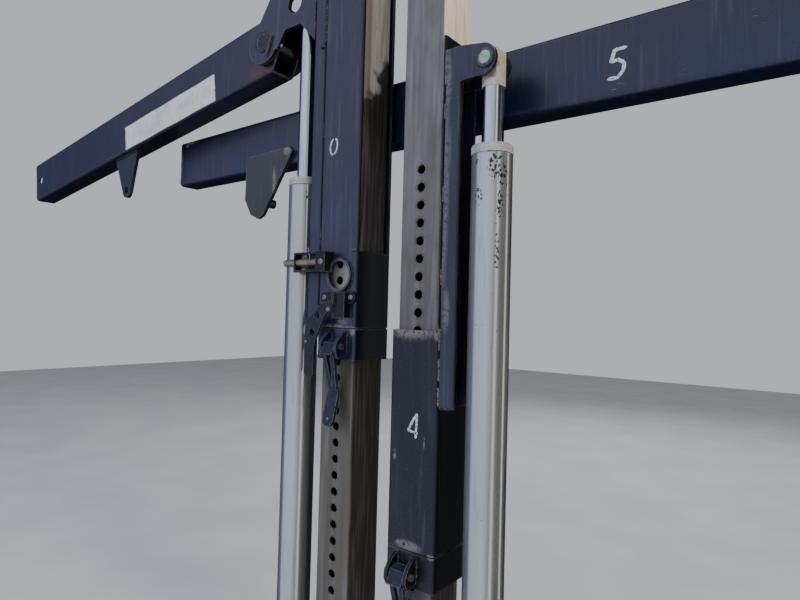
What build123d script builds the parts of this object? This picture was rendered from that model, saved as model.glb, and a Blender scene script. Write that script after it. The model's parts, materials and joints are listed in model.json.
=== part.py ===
from build123d import *
import os
from collections import namedtuple
from math import cos, radians, sin

# Twin lift-post station of a vehicle-carrying trailer, in millimetres.
# X runs along the trailer, -Y faces outwards, +Z is up.
# The origin is the centre of the foot plate's underside.
# Two square posts stand side by side. On each a carriage slides up and down,
# pushed by a cylinder that stands beside the post, and a latch under the
# carriage drops into the post's row of lock holes.
# The two units are mirror images along X: the left cylinder is on the -X side.
# The left carriage holds a hinged deck arm, the right one a level deck beam.

os.makedirs("parts", exist_ok=True)

# Foot
FOOT_LENGTH = 780.0
FOOT_WIDTH = 190.0
FOOT_THICK = 20.0
FOOT_BOLT_X = 700.0
FOOT_BOLT_Y = 130.0
FOOT_BOLT_DIA = 22.0
RIB_REACH = 42.0
RIB_HEIGHT = 90.0
RIB_THICK = 8.0
RIB_OFFSET = 30.0

# Posts
POST_SPACING = 230.0
POST_SIDE = 103.0
POST_WALL = 6.4
POST_CORNER = 6.0
POST_TOP = 2150.0
CAP_THICK = 6.0
HOLE_PITCH = 38.1
HOLE_DIA = 20.0
HOLE_COUNT = 26
HOLE_FACES = 8

# Carriages
SLEEVE_SIDE = 122.0
SLEEVE_WALL = 4.5
SLEEVE_CORNER = 7.0
COLLAR_GAP = 3.0
COLLAR_HEIGHT = 72.0
STRAP_THICK = 6.0
PAD_THICK = 4.2
PAD_HEIGHT = 60.0
PAD_WIDTH = 70.0
STRONGBACK_REACH = 38.0
STRONGBACK_DEPTH = 68.0
STRONGBACK_WALL = 8.0
STRONGBACK_CORNER = 6.0

# Cylinders
CYLINDER_OFFSET = 155.0
CYLINDER_Y = -25.5
BARREL_DIA = 82.6
BARREL_BORE = 70.0
BARREL_FOOT_Z = 150.0
BARREL_FLOOR = 16.0
GLAND_LOW = 1317.0
GLAND_TOP = 1338.0
GLAND_DIA = 84.0
ROD_DIA = 44.45
STROKE = 1035.0
PISTON_HEIGHT = 60.0
EYE_RADIUS = 28.0
EYE_WIDTH = 36.0
EYE_NECK = 50.0
EYE_ROUND = 14.0
EYE_BAR_DIA = 47.0
EYE_GAP = 2.0
PIN_DIA = 32.0
PIN_HEAD_DIA = 38.0
PIN_HEAD = 4.0
PIN_FACES = 20
RUNNING_FIT = 0.05
LUG_Z = 95.0
LUG_THICK = 10.0
LUG_RADIUS = 34.0
EAR_RADIUS = 32.0
EAR_SHIFT = 10.0

# Latches: heights are below the sleeve's lower end
LATCH_SHIFT = 9.0
LATCH_HALF_GAP = 20.0
CHEEK_THICK = 8.0
LATCH_PIN_DIA = 14.0
LATCH_PIN_FACES = 12
LATCH_PIN_Y = -83.0
LATCH_PIN_DROP = 43.0

# Release lever and spring pin of the left carriage
WINDOW_X = -104.0
WINDOW_Z = 1086.0
WINDOW_RADIUS = 33.0
RING_RADIUS = 38.5
RING_THICK = 8.0
BRACKET_X = -104.5
BRACKET_Z = 1034.0
LEVER_THICK = 6.0
LOOP_LEFT = -231.0
LOOP_RIGHT = -151.0
LOOP_HEIGHT = 47.0
LOOP_DEPTH = 22.0
LOOP_BAR = 5.0
SPRING_PIN_Y = -82.0
SPRING_PIN_Z = 1117.0
SPRING_PIN_DIA = 18.0
SPRING_PIN_REACH = 42.0
SPRING_PIN_FACES = 16

# Deck arm
PIVOT_X = -415.0
PIVOT_Z = 1721.0
ARM_DROP = 7.3
ARM_HEIGHT = 160.0
ARM_WIDTH = 76.2
ARM_WALL = 6.0
ARM_CORNER = 11.0
ARM_INNER_END = -70.0
ARM_OUTER_END = 1545.0
ARM_FRONT_Y = -44.0
ARM_PIN_DIA = 40.0
ARM_PIN_HEAD_DIA = 56.0
ARM_HUB_DIA = 76.0
ARM_END_HOLE_DIA = 32.0
ARM_LUG_S = 815.0
ARM_LUG_DROP = 206.0
ARM_LUG_HOLE_DIA = 24.0
GUSSET_THICK = 12.0
GUSSET_GAP = 5.0
LOBE_RADIUS = 58.0

# Deck beam
BEAM_LENGTH = 2030.0
BEAM_HEIGHT = 152.4
BEAM_WIDTH = 76.2
BEAM_WALL = 6.4
BEAM_CORNER = 12.0
BEAM_LOW = 1425.0
BEAM_PAD = 12.0
BEAM_CAP = 6.0
HANGER_PIN_X = -585.0
HANGER_PIN_Z = 1330.0

SLEEVE_HALF = SLEEVE_SIDE / 2
FRONT_Y = -SLEEVE_HALF
SLEEVE_BORE = SLEEVE_SIDE - 2 * SLEEVE_WALL
POST_HALF = POST_SIDE / 2
PIN_BORE = PIN_DIA / 2 + RUNNING_FIT
EYE_BACK_Y = CYLINDER_Y + EYE_WIDTH / 2
EYE_FRONT_Y = CYLINDER_Y - EYE_WIDTH / 2
ARM_BACK_Y = ARM_FRONT_Y + ARM_WIDTH
GUSSET_BACK_Y = ARM_BACK_Y + GUSSET_GAP + GUSSET_THICK
BEAM_FRONT_Y = SLEEVE_HALF + BEAM_PAD
BEAM_TOP = BEAM_LOW + BEAM_HEIGHT

# One row per unit: its name, its side, the top lock hole, the sleeve's ends,
# the top of its open section, the strongback's ends and the rod eye's height
Unit = namedtuple(
    "Unit", "name side hole_top sleeve_low sleeve_top open_top back_low back_top eye_z"
)
LEFT = Unit("left", -1, 1303.3, 964.0, 1142.0, 2000.0, 964.0, 2000.0, 1860.0)
RIGHT = Unit("right", 1, 1307.7, 508.0, 966.0, BEAM_TOP, 811.0, 1544.0, 1505.0)
UNITS = (LEFT, RIGHT)


def post_x(unit):
    return unit.side * POST_SPACING / 2


def cylinder_x(unit):
    return unit.side * (POST_SPACING / 2 + CYLINDER_OFFSET)


def front_plane(y):
    """World XZ plane at this Y: sketch up is +Z and an extrusion runs outwards."""
    return Plane.XZ.offset(-y)


def leaning_plane(x, y, z, lean):
    """Like front_plane through this point, its upper end leaning outwards."""
    return Plane(
        origin=(x, y, z),
        x_dir=(1, 0, 0),
        z_dir=(0, -cos(radians(lean)), -sin(radians(lean))),
    )


def write(part, name):
    part.label = name
    export_step(part, f"parts/{name}.step")


# Foot plate with its four bolt holes
with BuildPart() as foot_plate:
    with BuildSketch():
        Rectangle(FOOT_LENGTH, FOOT_WIDTH)
        with GridLocations(FOOT_BOLT_X, FOOT_BOLT_Y, 2, 2):
            Circle(FOOT_BOLT_DIA / 2, mode=Mode.SUBTRACT)
    extrude(amount=FOOT_THICK)
write(foot_plate.part, "foot_plate")

# Triangular ribs at the front and back of each post's foot
with BuildPart() as foot_ribs:
    for unit in UNITS:
        for offset in (-RIB_OFFSET, RIB_OFFSET):
            with BuildSketch(Plane.YZ.offset(post_x(unit) + offset - RIB_THICK / 2)):
                for way in (-1, 1):
                    with BuildLine():
                        Polyline(
                            (way * POST_HALF, FOOT_THICK),
                            (way * (POST_HALF + RIB_REACH), FOOT_THICK),
                            (way * (POST_HALF + RIB_REACH), FOOT_THICK + 12),
                            (way * POST_HALF, FOOT_THICK + RIB_HEIGHT),
                            close=True,
                        )
                    make_face()
            extrude(amount=RIB_THICK)
write(foot_ribs.part, "foot_ribs")

# Plates that close the posts' tops
with BuildPart() as post_caps:
    with BuildSketch(Plane.XY.offset(POST_TOP)):
        with Locations((post_x(LEFT), 0), (post_x(RIGHT), 0)):
            Rectangle(POST_SIDE - 6, POST_SIDE - 6)
    extrude(amount=CAP_THICK)
    chamfer(post_caps.edges().filter_by(Axis.Z), 6)
write(post_caps.part, "post_caps")

# Pairs of lugs that hold the barrels' foot pins
with BuildPart() as barrel_lugs:
    for unit in UNITS:
        for y in (EYE_BACK_Y + EYE_GAP + LUG_THICK, EYE_FRONT_Y - EYE_GAP):
            with BuildSketch(front_plane(y)):
                with Locations((cylinder_x(unit), LUG_Z)):
                    RegularPolygon(LUG_RADIUS, 8, rotation=22.5)
                with Locations((cylinder_x(unit), FOOT_THICK + 5)):
                    Rectangle(96, 10)
                make_hull()
                with Locations((cylinder_x(unit), LUG_Z)):
                    Circle(PIN_BORE, mode=Mode.SUBTRACT)
            extrude(amount=LUG_THICK)
write(barrel_lugs.part, "barrel_lugs")

# Pins through the barrels' eyes, each with a flat head
foot_pin_back = EYE_BACK_Y + EYE_GAP + LUG_THICK + 8
foot_pin_head = EYE_FRONT_Y - EYE_GAP - LUG_THICK
with BuildPart() as barrel_pins:
    for unit in UNITS:
        with BuildSketch(front_plane(foot_pin_back)):
            with Locations((cylinder_x(unit), LUG_Z)):
                RegularPolygon(PIN_DIA / 2, PIN_FACES)
        extrude(amount=foot_pin_back - foot_pin_head)
        with BuildSketch(front_plane(foot_pin_head)):
            with Locations((cylinder_x(unit), LUG_Z)):
                RegularPolygon(PIN_HEAD_DIA / 2, PIN_FACES)
        extrude(amount=PIN_HEAD)
write(barrel_pins.part, "barrel_pins")

# Gland nuts on the barrels' mouths
with BuildPart() as glands:
    for unit in UNITS:
        with BuildSketch(Plane.XY.offset(GLAND_LOW)):
            with Locations((cylinder_x(unit), CYLINDER_Y)):
                Circle(GLAND_DIA / 2)
                Circle(ROD_DIA / 2 + RUNNING_FIT, mode=Mode.SUBTRACT)
        extrude(amount=GLAND_TOP - GLAND_LOW)
write(glands.part, "glands")

for unit in UNITS:
    # Square post with its row of lock holes through the front wall
    with BuildPart() as post:
        with BuildSketch(Plane.XY.offset(FOOT_THICK)):
            with Locations((post_x(unit), 0)):
                RectangleRounded(POST_SIDE, POST_SIDE, POST_CORNER)
                inner = POST_SIDE - 2 * POST_WALL
                Rectangle(inner, inner, mode=Mode.SUBTRACT)
        extrude(amount=POST_TOP - FOOT_THICK)
        with BuildSketch(front_plane(POST_WALL + 1 - POST_HALF)):
            holes = [
                (post_x(unit), unit.hole_top - k * HOLE_PITCH) for k in range(HOLE_COUNT)
            ]
            with Locations(*holes):
                RegularPolygon(HOLE_DIA / 2, HOLE_FACES)
        extrude(amount=POST_WALL + 2, mode=Mode.SUBTRACT)
    write(post.part, f"post_{unit.name}")

    # Barrel: tube, end cap and the eye below it
    with BuildPart() as barrel:
        with BuildSketch(Plane.XY.offset(BARREL_FOOT_Z)):
            with Locations((cylinder_x(unit), CYLINDER_Y)):
                Circle(BARREL_DIA / 2)
        extrude(amount=GLAND_LOW - BARREL_FOOT_Z)
        with BuildSketch(Plane.XY.offset(BARREL_FOOT_Z + BARREL_FLOOR)):
            with Locations((cylinder_x(unit), CYLINDER_Y)):
                Circle(BARREL_BORE / 2)
        extrude(amount=GLAND_LOW, mode=Mode.SUBTRACT)
        with BuildSketch(front_plane(EYE_BACK_Y)):
            with Locations((cylinder_x(unit), LUG_Z)):
                Circle(EYE_RADIUS)
            with Locations((cylinder_x(unit), BARREL_FOOT_Z - 2)):
                Rectangle(2 * EYE_RADIUS, 6)
            make_hull()
        extrude(amount=EYE_WIDTH)
        with BuildSketch(front_plane(EYE_BACK_Y + 1)):
            with Locations((cylinder_x(unit), LUG_Z)):
                Circle(PIN_BORE)
        extrude(amount=EYE_WIDTH + 2, mode=Mode.SUBTRACT)
    write(barrel.part, f"barrel_{unit.name}")

    # Rod with its piston and its eye, a round bar with two flats and a round top.
    # The right eye keeps a round foot below its flats.
    neck_z = unit.eye_z - EYE_NECK
    piston_top = neck_z - STROKE - (GLAND_TOP - GLAND_LOW) - 20
    with BuildPart() as rod:
        with BuildSketch(Plane.XY.offset(neck_z)):
            with Locations((cylinder_x(unit), CYLINDER_Y)):
                Circle(EYE_BAR_DIA / 2)
                Rectangle(EYE_BAR_DIA, EYE_WIDTH, mode=Mode.INTERSECT)
        extrude(amount=EYE_NECK + EYE_RADIUS)
        with BuildSketch(front_plane(EYE_BACK_Y)):
            with Locations((cylinder_x(unit), unit.eye_z)):
                Circle(EYE_RADIUS)
            with Locations((cylinder_x(unit), neck_z + EYE_NECK / 2)):
                Rectangle(2 * EYE_RADIUS, EYE_NECK)
            with Locations((cylinder_x(unit), unit.eye_z)):
                Circle(PIN_BORE, mode=Mode.SUBTRACT)
        extrude(amount=EYE_WIDTH, mode=Mode.INTERSECT)
        if unit is RIGHT:
            with BuildSketch(Plane.XY.offset(neck_z)):
                with Locations((cylinder_x(unit), CYLINDER_Y)):
                    Circle(EYE_BAR_DIA / 2)
            extrude(amount=EYE_ROUND)
        with BuildSketch(Plane.XY.offset(piston_top - PISTON_HEIGHT)):
            with Locations((cylinder_x(unit), CYLINDER_Y)):
                Circle(BARREL_BORE / 2 - RUNNING_FIT)
        extrude(amount=PISTON_HEIGHT)
        with BuildSketch(Plane.XY.offset(piston_top)):
            with Locations((cylinder_x(unit), CYLINDER_Y)):
                Circle(ROD_DIA / 2)
        extrude(amount=neck_z - piston_top + 4)
    write(rod.part, f"rod_{unit.name}")

    # Sleeve: a closed square tube round the post, whose upper walls run on.
    # On the left they are a channel open away from the cylinder, with a window
    # and its ring in front. On the right they are the side and the back wall.
    inward = -unit.side
    with BuildPart() as sleeve:
        with BuildSketch(Plane.XY.offset(unit.sleeve_low)):
            with Locations((post_x(unit), 0)):
                RectangleRounded(SLEEVE_SIDE, SLEEVE_SIDE, SLEEVE_CORNER)
                Rectangle(SLEEVE_BORE, SLEEVE_BORE, mode=Mode.SUBTRACT)
        extrude(amount=unit.open_top - unit.sleeve_low)
        with BuildSketch(Plane.XY.offset(unit.sleeve_top)):
            with Locations((post_x(unit) + inward * SLEEVE_HALF, 0)):
                Rectangle(2 * SLEEVE_WALL + 4, SLEEVE_BORE - 10)
            if unit is RIGHT:
                with Locations((post_x(unit) + inward * SLEEVE_WALL, FRONT_Y)):
                    Rectangle(SLEEVE_SIDE, 2 * SLEEVE_WALL + 14)
        extrude(amount=unit.open_top - unit.sleeve_top, mode=Mode.SUBTRACT)
        if unit is LEFT:
            with BuildSketch(front_plane(FRONT_Y)):
                with Locations((WINDOW_X, WINDOW_Z)):
                    Circle(RING_RADIUS)
            extrude(amount=RING_THICK)
            with BuildSketch(front_plane(FRONT_Y / 2)):
                with Locations((WINDOW_X, WINDOW_Z)):
                    Circle(WINDOW_RADIUS)
            extrude(amount=SLEEVE_SIDE, mode=Mode.SUBTRACT)
            with BuildSketch(front_plane(FRONT_Y)):
                with Locations((post_x(unit) + 51, unit.sleeve_top + 1.5)):
                    Rectangle(20, 3)
            extrude(amount=5)
    write(sleeve.part, f"sleeve_{unit.name}")

    # Lock collar under the sleeve, tied to it by a strap at the back
    collar_low = unit.sleeve_low - COLLAR_GAP - COLLAR_HEIGHT
    with BuildPart() as collar:
        with BuildSketch(Plane.XY.offset(collar_low)):
            with Locations((post_x(unit), 0)):
                RectangleRounded(SLEEVE_SIDE, SLEEVE_SIDE, SLEEVE_CORNER)
                Rectangle(SLEEVE_BORE, SLEEVE_BORE, mode=Mode.SUBTRACT)
        extrude(amount=COLLAR_HEIGHT)
        with BuildSketch(Plane.XY.offset(collar_low + 8)):
            with Locations((post_x(unit), SLEEVE_HALF + STRAP_THICK / 2)):
                Rectangle(60, STRAP_THICK)
        extrude(amount=COLLAR_HEIGHT + 60)
    write(collar.part, f"lock_collar_{unit.name}")

    # Wear pads inside the sleeve's ends, on three sides of the post
    pad_levels = (unit.sleeve_low + 8, unit.sleeve_top - PAD_HEIGHT - 8)
    pad_middle = SLEEVE_BORE / 2 - PAD_THICK / 2
    with BuildPart() as pads:
        for z in pad_levels:
            with BuildSketch(Plane.XY.offset(z)):
                with Locations((post_x(unit) - pad_middle, 0), (post_x(unit) + pad_middle, 0)):
                    Rectangle(PAD_THICK, PAD_WIDTH)
                with Locations((post_x(unit), pad_middle)):
                    Rectangle(PAD_WIDTH, PAD_THICK)
            extrude(amount=PAD_HEIGHT)
    write(pads.part, f"wear_pads_{unit.name}")

    # Strongback channel on the sleeve's side, open towards the cylinder.
    # The right one ends in the two ears that hold the rod's eye.
    wall_x = post_x(unit) + unit.side * SLEEVE_HALF
    back_x = wall_x + unit.side * STRONGBACK_REACH / 2
    with BuildPart() as strongback:
        with BuildSketch(Plane.XY.offset(unit.back_low)):
            with Locations((back_x, FRONT_Y + STRONGBACK_DEPTH / 2)):
                RectangleRounded(STRONGBACK_REACH, STRONGBACK_DEPTH, STRONGBACK_CORNER)
            with Locations(
                (back_x + unit.side * STRONGBACK_WALL, FRONT_Y + STRONGBACK_DEPTH / 2)
            ):
                Rectangle(
                    STRONGBACK_REACH, STRONGBACK_DEPTH - 2 * STRONGBACK_WALL, mode=Mode.SUBTRACT
                )
        extrude(amount=unit.back_top - unit.back_low)
        if unit is RIGHT:
            for y in (FRONT_Y + LUG_THICK, FRONT_Y + STRONGBACK_DEPTH):
                with BuildSketch(front_plane(y)):
                    with Locations((cylinder_x(unit) - EAR_SHIFT, unit.eye_z)):
                        RegularPolygon(EAR_RADIUS, 24)
                    with Locations((back_x, unit.eye_z + 3)):
                        Rectangle(STRONGBACK_REACH, 72)
                    make_hull()
                    with Locations((cylinder_x(unit), unit.eye_z)):
                        Circle(PIN_BORE, mode=Mode.SUBTRACT)
                extrude(amount=LUG_THICK)
    write(strongback.part, f"strongback_{unit.name}")

    # Two curved cheeks on the collar, which hold the latch's pin
    latch_x = post_x(unit) - unit.side * LATCH_SHIFT
    latch_z = unit.sleeve_low - LATCH_PIN_DROP
    outer_gap = LATCH_HALF_GAP + CHEEK_THICK
    with BuildPart() as cheeks:
        for x in (latch_x - outer_gap, latch_x + LATCH_HALF_GAP):
            with BuildSketch(Plane.YZ.offset(x)):
                with BuildLine():
                    Polyline(
                        (FRONT_Y, latch_z + 36),
                        (-76, latch_z + 29),
                        (-89, latch_z + 17),
                        (-97, latch_z + 3),
                        (-98, latch_z - 11),
                        (-90, latch_z - 26),
                        (FRONT_Y, latch_z - 20),
                        close=True,
                    )
                make_face()
                with Locations((LATCH_PIN_Y, latch_z)):
                    RegularPolygon(
                        LATCH_PIN_DIA / 2 + RUNNING_FIT, LATCH_PIN_FACES, mode=Mode.SUBTRACT
                    )
            extrude(amount=CHEEK_THICK)
    write(cheeks.part, f"latch_cheeks_{unit.name}")

    # Latch: the pawl between the cheeks, a two-pronged fork under it and
    # the blade that a hand pulls
    fork_z = latch_z - 108
    blade_z = latch_z - 170
    with BuildPart() as latch:
        with BuildSketch(Plane.YZ.offset(latch_x - LATCH_HALF_GAP + 2)):
            with BuildLine():
                Polyline(
                    (-70, latch_z + 15),
                    (-89, latch_z + 9),
                    (-102, latch_z - 18),
                    (-77, latch_z - 26),
                    (-68, latch_z - 8),
                    close=True,
                )
            make_face()
            with Locations((LATCH_PIN_Y, latch_z)):
                RegularPolygon(
                    LATCH_PIN_DIA / 2 + RUNNING_FIT, LATCH_PIN_FACES, mode=Mode.SUBTRACT
                )
        extrude(amount=2 * LATCH_HALF_GAP - 4)
        for way in (-1, 1):
            with BuildSketch(leaning_plane(latch_x, -65, fork_z, 12)):
                with Locations((way * 12, 88)):
                    Rectangle(9, 10)
                with Locations((way * 5, 0)):
                    Rectangle(12, 14)
                make_hull()
            extrude(amount=9)
        with BuildSketch(leaning_plane(latch_x, -66, fork_z, -14)):
            with Locations((0, -4), (0, blade_z - fork_z)):
                RegularPolygon(17, 20)
            make_hull()
        extrude(amount=8)
    write(latch.part, f"latch_lever_{unit.name}")

# Pins of each carriage: the rod's, the latch's and, on the left, the arm's
# pivot, whose head is held by a slanting keeper bar
for unit in UNITS:
    latch_x = post_x(unit) - unit.side * LATCH_SHIFT
    latch_z = unit.sleeve_low - LATCH_PIN_DROP
    if unit is LEFT:
        back_y = GUSSET_BACK_Y + 4
        big_pins = (
            (cylinder_x(unit), unit.eye_z, PIN_DIA, PIN_HEAD_DIA),
            (PIVOT_X, PIVOT_Z, ARM_PIN_DIA, ARM_PIN_HEAD_DIA),
        )
    else:
        back_y = FRONT_Y + STRONGBACK_DEPTH + 8
        big_pins = ((cylinder_x(unit), unit.eye_z, PIN_DIA, PIN_HEAD_DIA),)
    with BuildPart() as pins:
        for x, z, dia, head_dia in big_pins:
            with BuildSketch(front_plane(back_y)):
                with Locations((x, z)):
                    RegularPolygon(dia / 2, PIN_FACES)
            extrude(amount=back_y - FRONT_Y)
            with BuildSketch(front_plane(FRONT_Y)):
                with Locations((x, z)):
                    RegularPolygon(head_dia / 2, PIN_FACES)
            extrude(amount=PIN_HEAD)
        with BuildSketch(Plane.YZ.offset(latch_x - outer_gap - 6)):
            with Locations((LATCH_PIN_Y, latch_z)):
                RegularPolygon(LATCH_PIN_DIA / 2, LATCH_PIN_FACES)
        extrude(amount=2 * (outer_gap + 6))
        if unit is LEFT:
            with BuildSketch(front_plane(FRONT_Y)):
                with Locations(Location((PIVOT_X + 27, PIVOT_Z - 17), -22)):
                    Rectangle(9, 54)
            extrude(amount=5)
    write(pins.part, f"pins_{unit.name}")

# Bracket of the release lever: a base plate with round ends, cut off at the
# window's ring, and the block that carries the lever
with BuildPart() as bracket:
    with BuildSketch(front_plane(FRONT_Y)):
        with Locations((BRACKET_X - 42, BRACKET_Z), (BRACKET_X + 42, BRACKET_Z)):
            RegularPolygon(14, 16)
        make_hull()
        with Locations((WINDOW_X, WINDOW_Z)):
            Circle(RING_RADIUS + 0.3, mode=Mode.SUBTRACT)
    extrude(amount=8)
    with BuildSketch(front_plane(FRONT_Y)):
        with Locations((BRACKET_X + 18, BRACKET_Z - 18.5)):
            Rectangle(36, 58)
    extrude(amount=23)
write(bracket.part, "release_bracket")

# Release lever: a narrow upright end on the block, a strap with two square
# holes and a long blade with a round tip
with BuildPart() as lever:
    with BuildSketch(front_plane(FRONT_Y - 23)):
        with BuildLine():
            Polyline(
                (-103, 1043),
                (-97, 1043),
                (-97, 1017),
                (-124, 992),
                (-140, 962),
                (-154, 932),
                (-157, 907),
                (-157, 858),
                (-188, 858),
                (-188, 960),
                (-182, 980),
                (-139, 1018),
                (-103, 1026),
                close=True,
            )
        make_face()
        with Locations((-172.5, 858)):
            RegularPolygon(15.5, 20)
        with Locations(Location((-147, 991), 56), Location((-164, 951), 56)):
            Rectangle(15, 17, mode=Mode.SUBTRACT)
    extrude(amount=LEVER_THICK)
write(lever.part, "release_lever")

# Spring pin: a block on the sleeve and on the window's ring, a flat strap loop
# beside it and the plunger through the loop
with BuildPart() as loop:
    with BuildSketch(Plane.XY.offset(SPRING_PIN_Z - LOOP_HEIGHT / 2)):
        with Locations(((LOOP_LEFT + LOOP_RIGHT) / 2, SPRING_PIN_Y)):
            Rectangle(LOOP_RIGHT - LOOP_LEFT, LOOP_DEPTH)
    extrude(amount=LOOP_HEIGHT)
    with BuildSketch(front_plane(FRONT_Y)):
        with Locations(((LOOP_LEFT + LOOP_RIGHT) / 2, SPRING_PIN_Z)):
            Rectangle(LOOP_RIGHT - LOOP_LEFT - 2 * LOOP_BAR, LOOP_HEIGHT - 2 * LOOP_BAR)
    extrude(amount=60, mode=Mode.SUBTRACT)
    with BuildSketch(front_plane(FRONT_Y)):
        with Locations((LOOP_RIGHT + 11.5, SPRING_PIN_Z)):
            Rectangle(27, LOOP_HEIGHT)
        with Locations((WINDOW_X, WINDOW_Z)):
            Circle(RING_RADIUS + 0.3, mode=Mode.SUBTRACT)
    extrude(amount=RING_THICK)
    with BuildSketch(front_plane(FRONT_Y - RING_THICK)):
        with Locations((LOOP_RIGHT + 11.5, SPRING_PIN_Z)):
            Rectangle(27, LOOP_HEIGHT)
    extrude(amount=LOOP_DEPTH + 2)
    with BuildSketch(Plane.YZ.offset(LOOP_LEFT - 1)):
        with Locations((SPRING_PIN_Y, SPRING_PIN_Z)):
            RegularPolygon(SPRING_PIN_DIA / 2 + RUNNING_FIT, SPRING_PIN_FACES)
    extrude(amount=2 * LOOP_BAR, mode=Mode.SUBTRACT)
write(loop.part, "spring_pin_bracket")

with BuildPart() as spring_pin:
    with BuildSketch(Plane.YZ.offset(LOOP_LEFT - SPRING_PIN_REACH)):
        with Locations((SPRING_PIN_Y, SPRING_PIN_Z)):
            RegularPolygon(SPRING_PIN_DIA / 2, SPRING_PIN_FACES)
    extrude(amount=LOOP_RIGHT - LOOP_BAR - LOOP_LEFT + SPRING_PIN_REACH)
write(spring_pin.part, "spring_pin")

# Gusset plates of the left carriage, front and back of the deck arm. The
# front one has a round hole, the back one a boss that spaces the rod's eye.
left_wall = post_x(LEFT) - SLEEVE_HALF
left_rod_x = cylinder_x(LEFT)
gussets = (
    ("gusset_front", FRONT_Y + GUSSET_THICK, left_wall - STRONGBACK_REACH),
    ("gusset_back", GUSSET_BACK_Y, left_wall),
)
for name, y, root_x in gussets:
    with BuildPart() as gusset:
        with BuildSketch(front_plane(y)):
            with BuildLine():
                Polyline(
                    (root_x, 1672),
                    (left_rod_x, 1731),
                    (-328, 1730),
                    (-358, 1688),
                    (PIVOT_X, PIVOT_Z),
                    (-472, 1730),
                    (-423, 1787),
                    (-392, 1829),
                    (-330, 1950),
                    (root_x, 1990),
                    close=True,
                )
            make_face()
            with Locations((PIVOT_X, PIVOT_Z)):
                Circle(LOBE_RADIUS)
            if name == "gusset_front":
                with Locations((-292, 1789)):
                    Circle(25, mode=Mode.SUBTRACT)
        extrude(amount=GUSSET_THICK)
        if name == "gusset_back":
            with BuildSketch(front_plane(GUSSET_BACK_Y - GUSSET_THICK)):
                with Locations((left_rod_x, LEFT.eye_z)):
                    Circle(PIN_DIA / 2 + 7)
            extrude(amount=GUSSET_BACK_Y - GUSSET_THICK - EYE_BACK_Y - 1)
        with BuildSketch(front_plane(y + 1)):
            with Locations((PIVOT_X, PIVOT_Z)):
                Circle(ARM_PIN_DIA / 2 + RUNNING_FIT)
            with Locations((left_rod_x, LEFT.eye_z)):
                Circle(PIN_BORE)
        extrude(amount=GUSSET_BACK_Y - EYE_BACK_Y + 2, mode=Mode.SUBTRACT)
    write(gusset.part, name)

# Deck arm: a box tube that hangs a little towards its far end, with a hub
# round its pivot and the lower corner of its inner end cut away
arm_dir = (-cos(radians(ARM_DROP)), 0, -sin(radians(ARM_DROP)))
arm_face = Plane(origin=(PIVOT_X, ARM_FRONT_Y, PIVOT_Z), x_dir=arm_dir, z_dir=(0, 1, 0))
arm_end = Plane(
    origin=(
        PIVOT_X + ARM_INNER_END * arm_dir[0],
        (ARM_FRONT_Y + ARM_BACK_Y) / 2,
        PIVOT_Z + ARM_INNER_END * arm_dir[2],
    ),
    x_dir=(0, 1, 0),
    z_dir=arm_dir,
)
with BuildPart() as deck_arm:
    with BuildSketch(arm_end):
        RectangleRounded(ARM_WIDTH, ARM_HEIGHT, ARM_CORNER)
        Rectangle(
            ARM_WIDTH - 2 * ARM_WALL, ARM_HEIGHT - 2 * ARM_WALL, mode=Mode.SUBTRACT
        )
    extrude(amount=ARM_OUTER_END - ARM_INNER_END)
    with BuildSketch(arm_face.offset(-1)):
        with BuildLine():
            Polyline(
                (ARM_INNER_END - 1, 19),
                (-4, -ARM_HEIGHT / 2 - 1),
                (ARM_INNER_END - 1, -ARM_HEIGHT / 2 - 1),
                close=True,
            )
        make_face()
    extrude(amount=ARM_WIDTH + 2, mode=Mode.SUBTRACT)
    with BuildSketch(arm_face.offset(0.3 - GUSSET_GAP)):
        Circle(ARM_HUB_DIA / 2)
    extrude(amount=ARM_WIDTH + 2 * GUSSET_GAP - 0.6)
    with BuildSketch(arm_face.offset(-GUSSET_GAP)):
        Circle(ARM_PIN_DIA / 2 + RUNNING_FIT)
        with Locations((ARM_OUTER_END - 45, 0)):
            Circle(ARM_END_HOLE_DIA / 2)
    extrude(amount=ARM_WIDTH + 2 * GUSSET_GAP, mode=Mode.SUBTRACT)
write(deck_arm.part, "deck_arm")

# Lug that hangs under the deck arm, with a tie-down hole
with BuildPart() as arm_lug:
    with BuildSketch(arm_face.offset(18)):
        with Locations((806, -ARM_HEIGHT / 2 - 3)):
            Rectangle(146, 6)
        with Locations((ARM_LUG_S, -ARM_LUG_DROP)):
            RegularPolygon(26, 16)
        make_hull()
        with Locations((ARM_LUG_S, -ARM_LUG_DROP)):
            Circle(ARM_LUG_HOLE_DIA / 2, mode=Mode.SUBTRACT)
    extrude(amount=12)
write(arm_lug.part, "arm_lug")

# Deck beam of the right carriage: a level box tube behind both posts
with BuildPart() as deck_beam:
    with BuildSketch(Plane.YZ.offset(-BEAM_LENGTH / 2)):
        with Locations((BEAM_FRONT_Y + BEAM_WIDTH / 2, BEAM_LOW + BEAM_HEIGHT / 2)):
            RectangleRounded(BEAM_WIDTH, BEAM_HEIGHT, BEAM_CORNER)
            Rectangle(
                BEAM_WIDTH - 2 * BEAM_WALL, BEAM_HEIGHT - 2 * BEAM_WALL, mode=Mode.SUBTRACT
            )
    extrude(amount=BEAM_LENGTH)
write(deck_beam.part, "deck_beam")

# Plates that close the deck beam's ends
with BuildPart() as beam_caps:
    for x in (-BEAM_LENGTH / 2 - BEAM_CAP, BEAM_LENGTH / 2):
        with BuildSketch(Plane.YZ.offset(x)):
            with Locations((BEAM_FRONT_Y + BEAM_WIDTH / 2, BEAM_LOW + BEAM_HEIGHT / 2)):
                Rectangle(BEAM_WIDTH - 6, BEAM_HEIGHT - 6)
        extrude(amount=BEAM_CAP)
    chamfer(beam_caps.edges().filter_by(Axis.X), 7)
write(beam_caps.part, "beam_caps")

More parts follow.
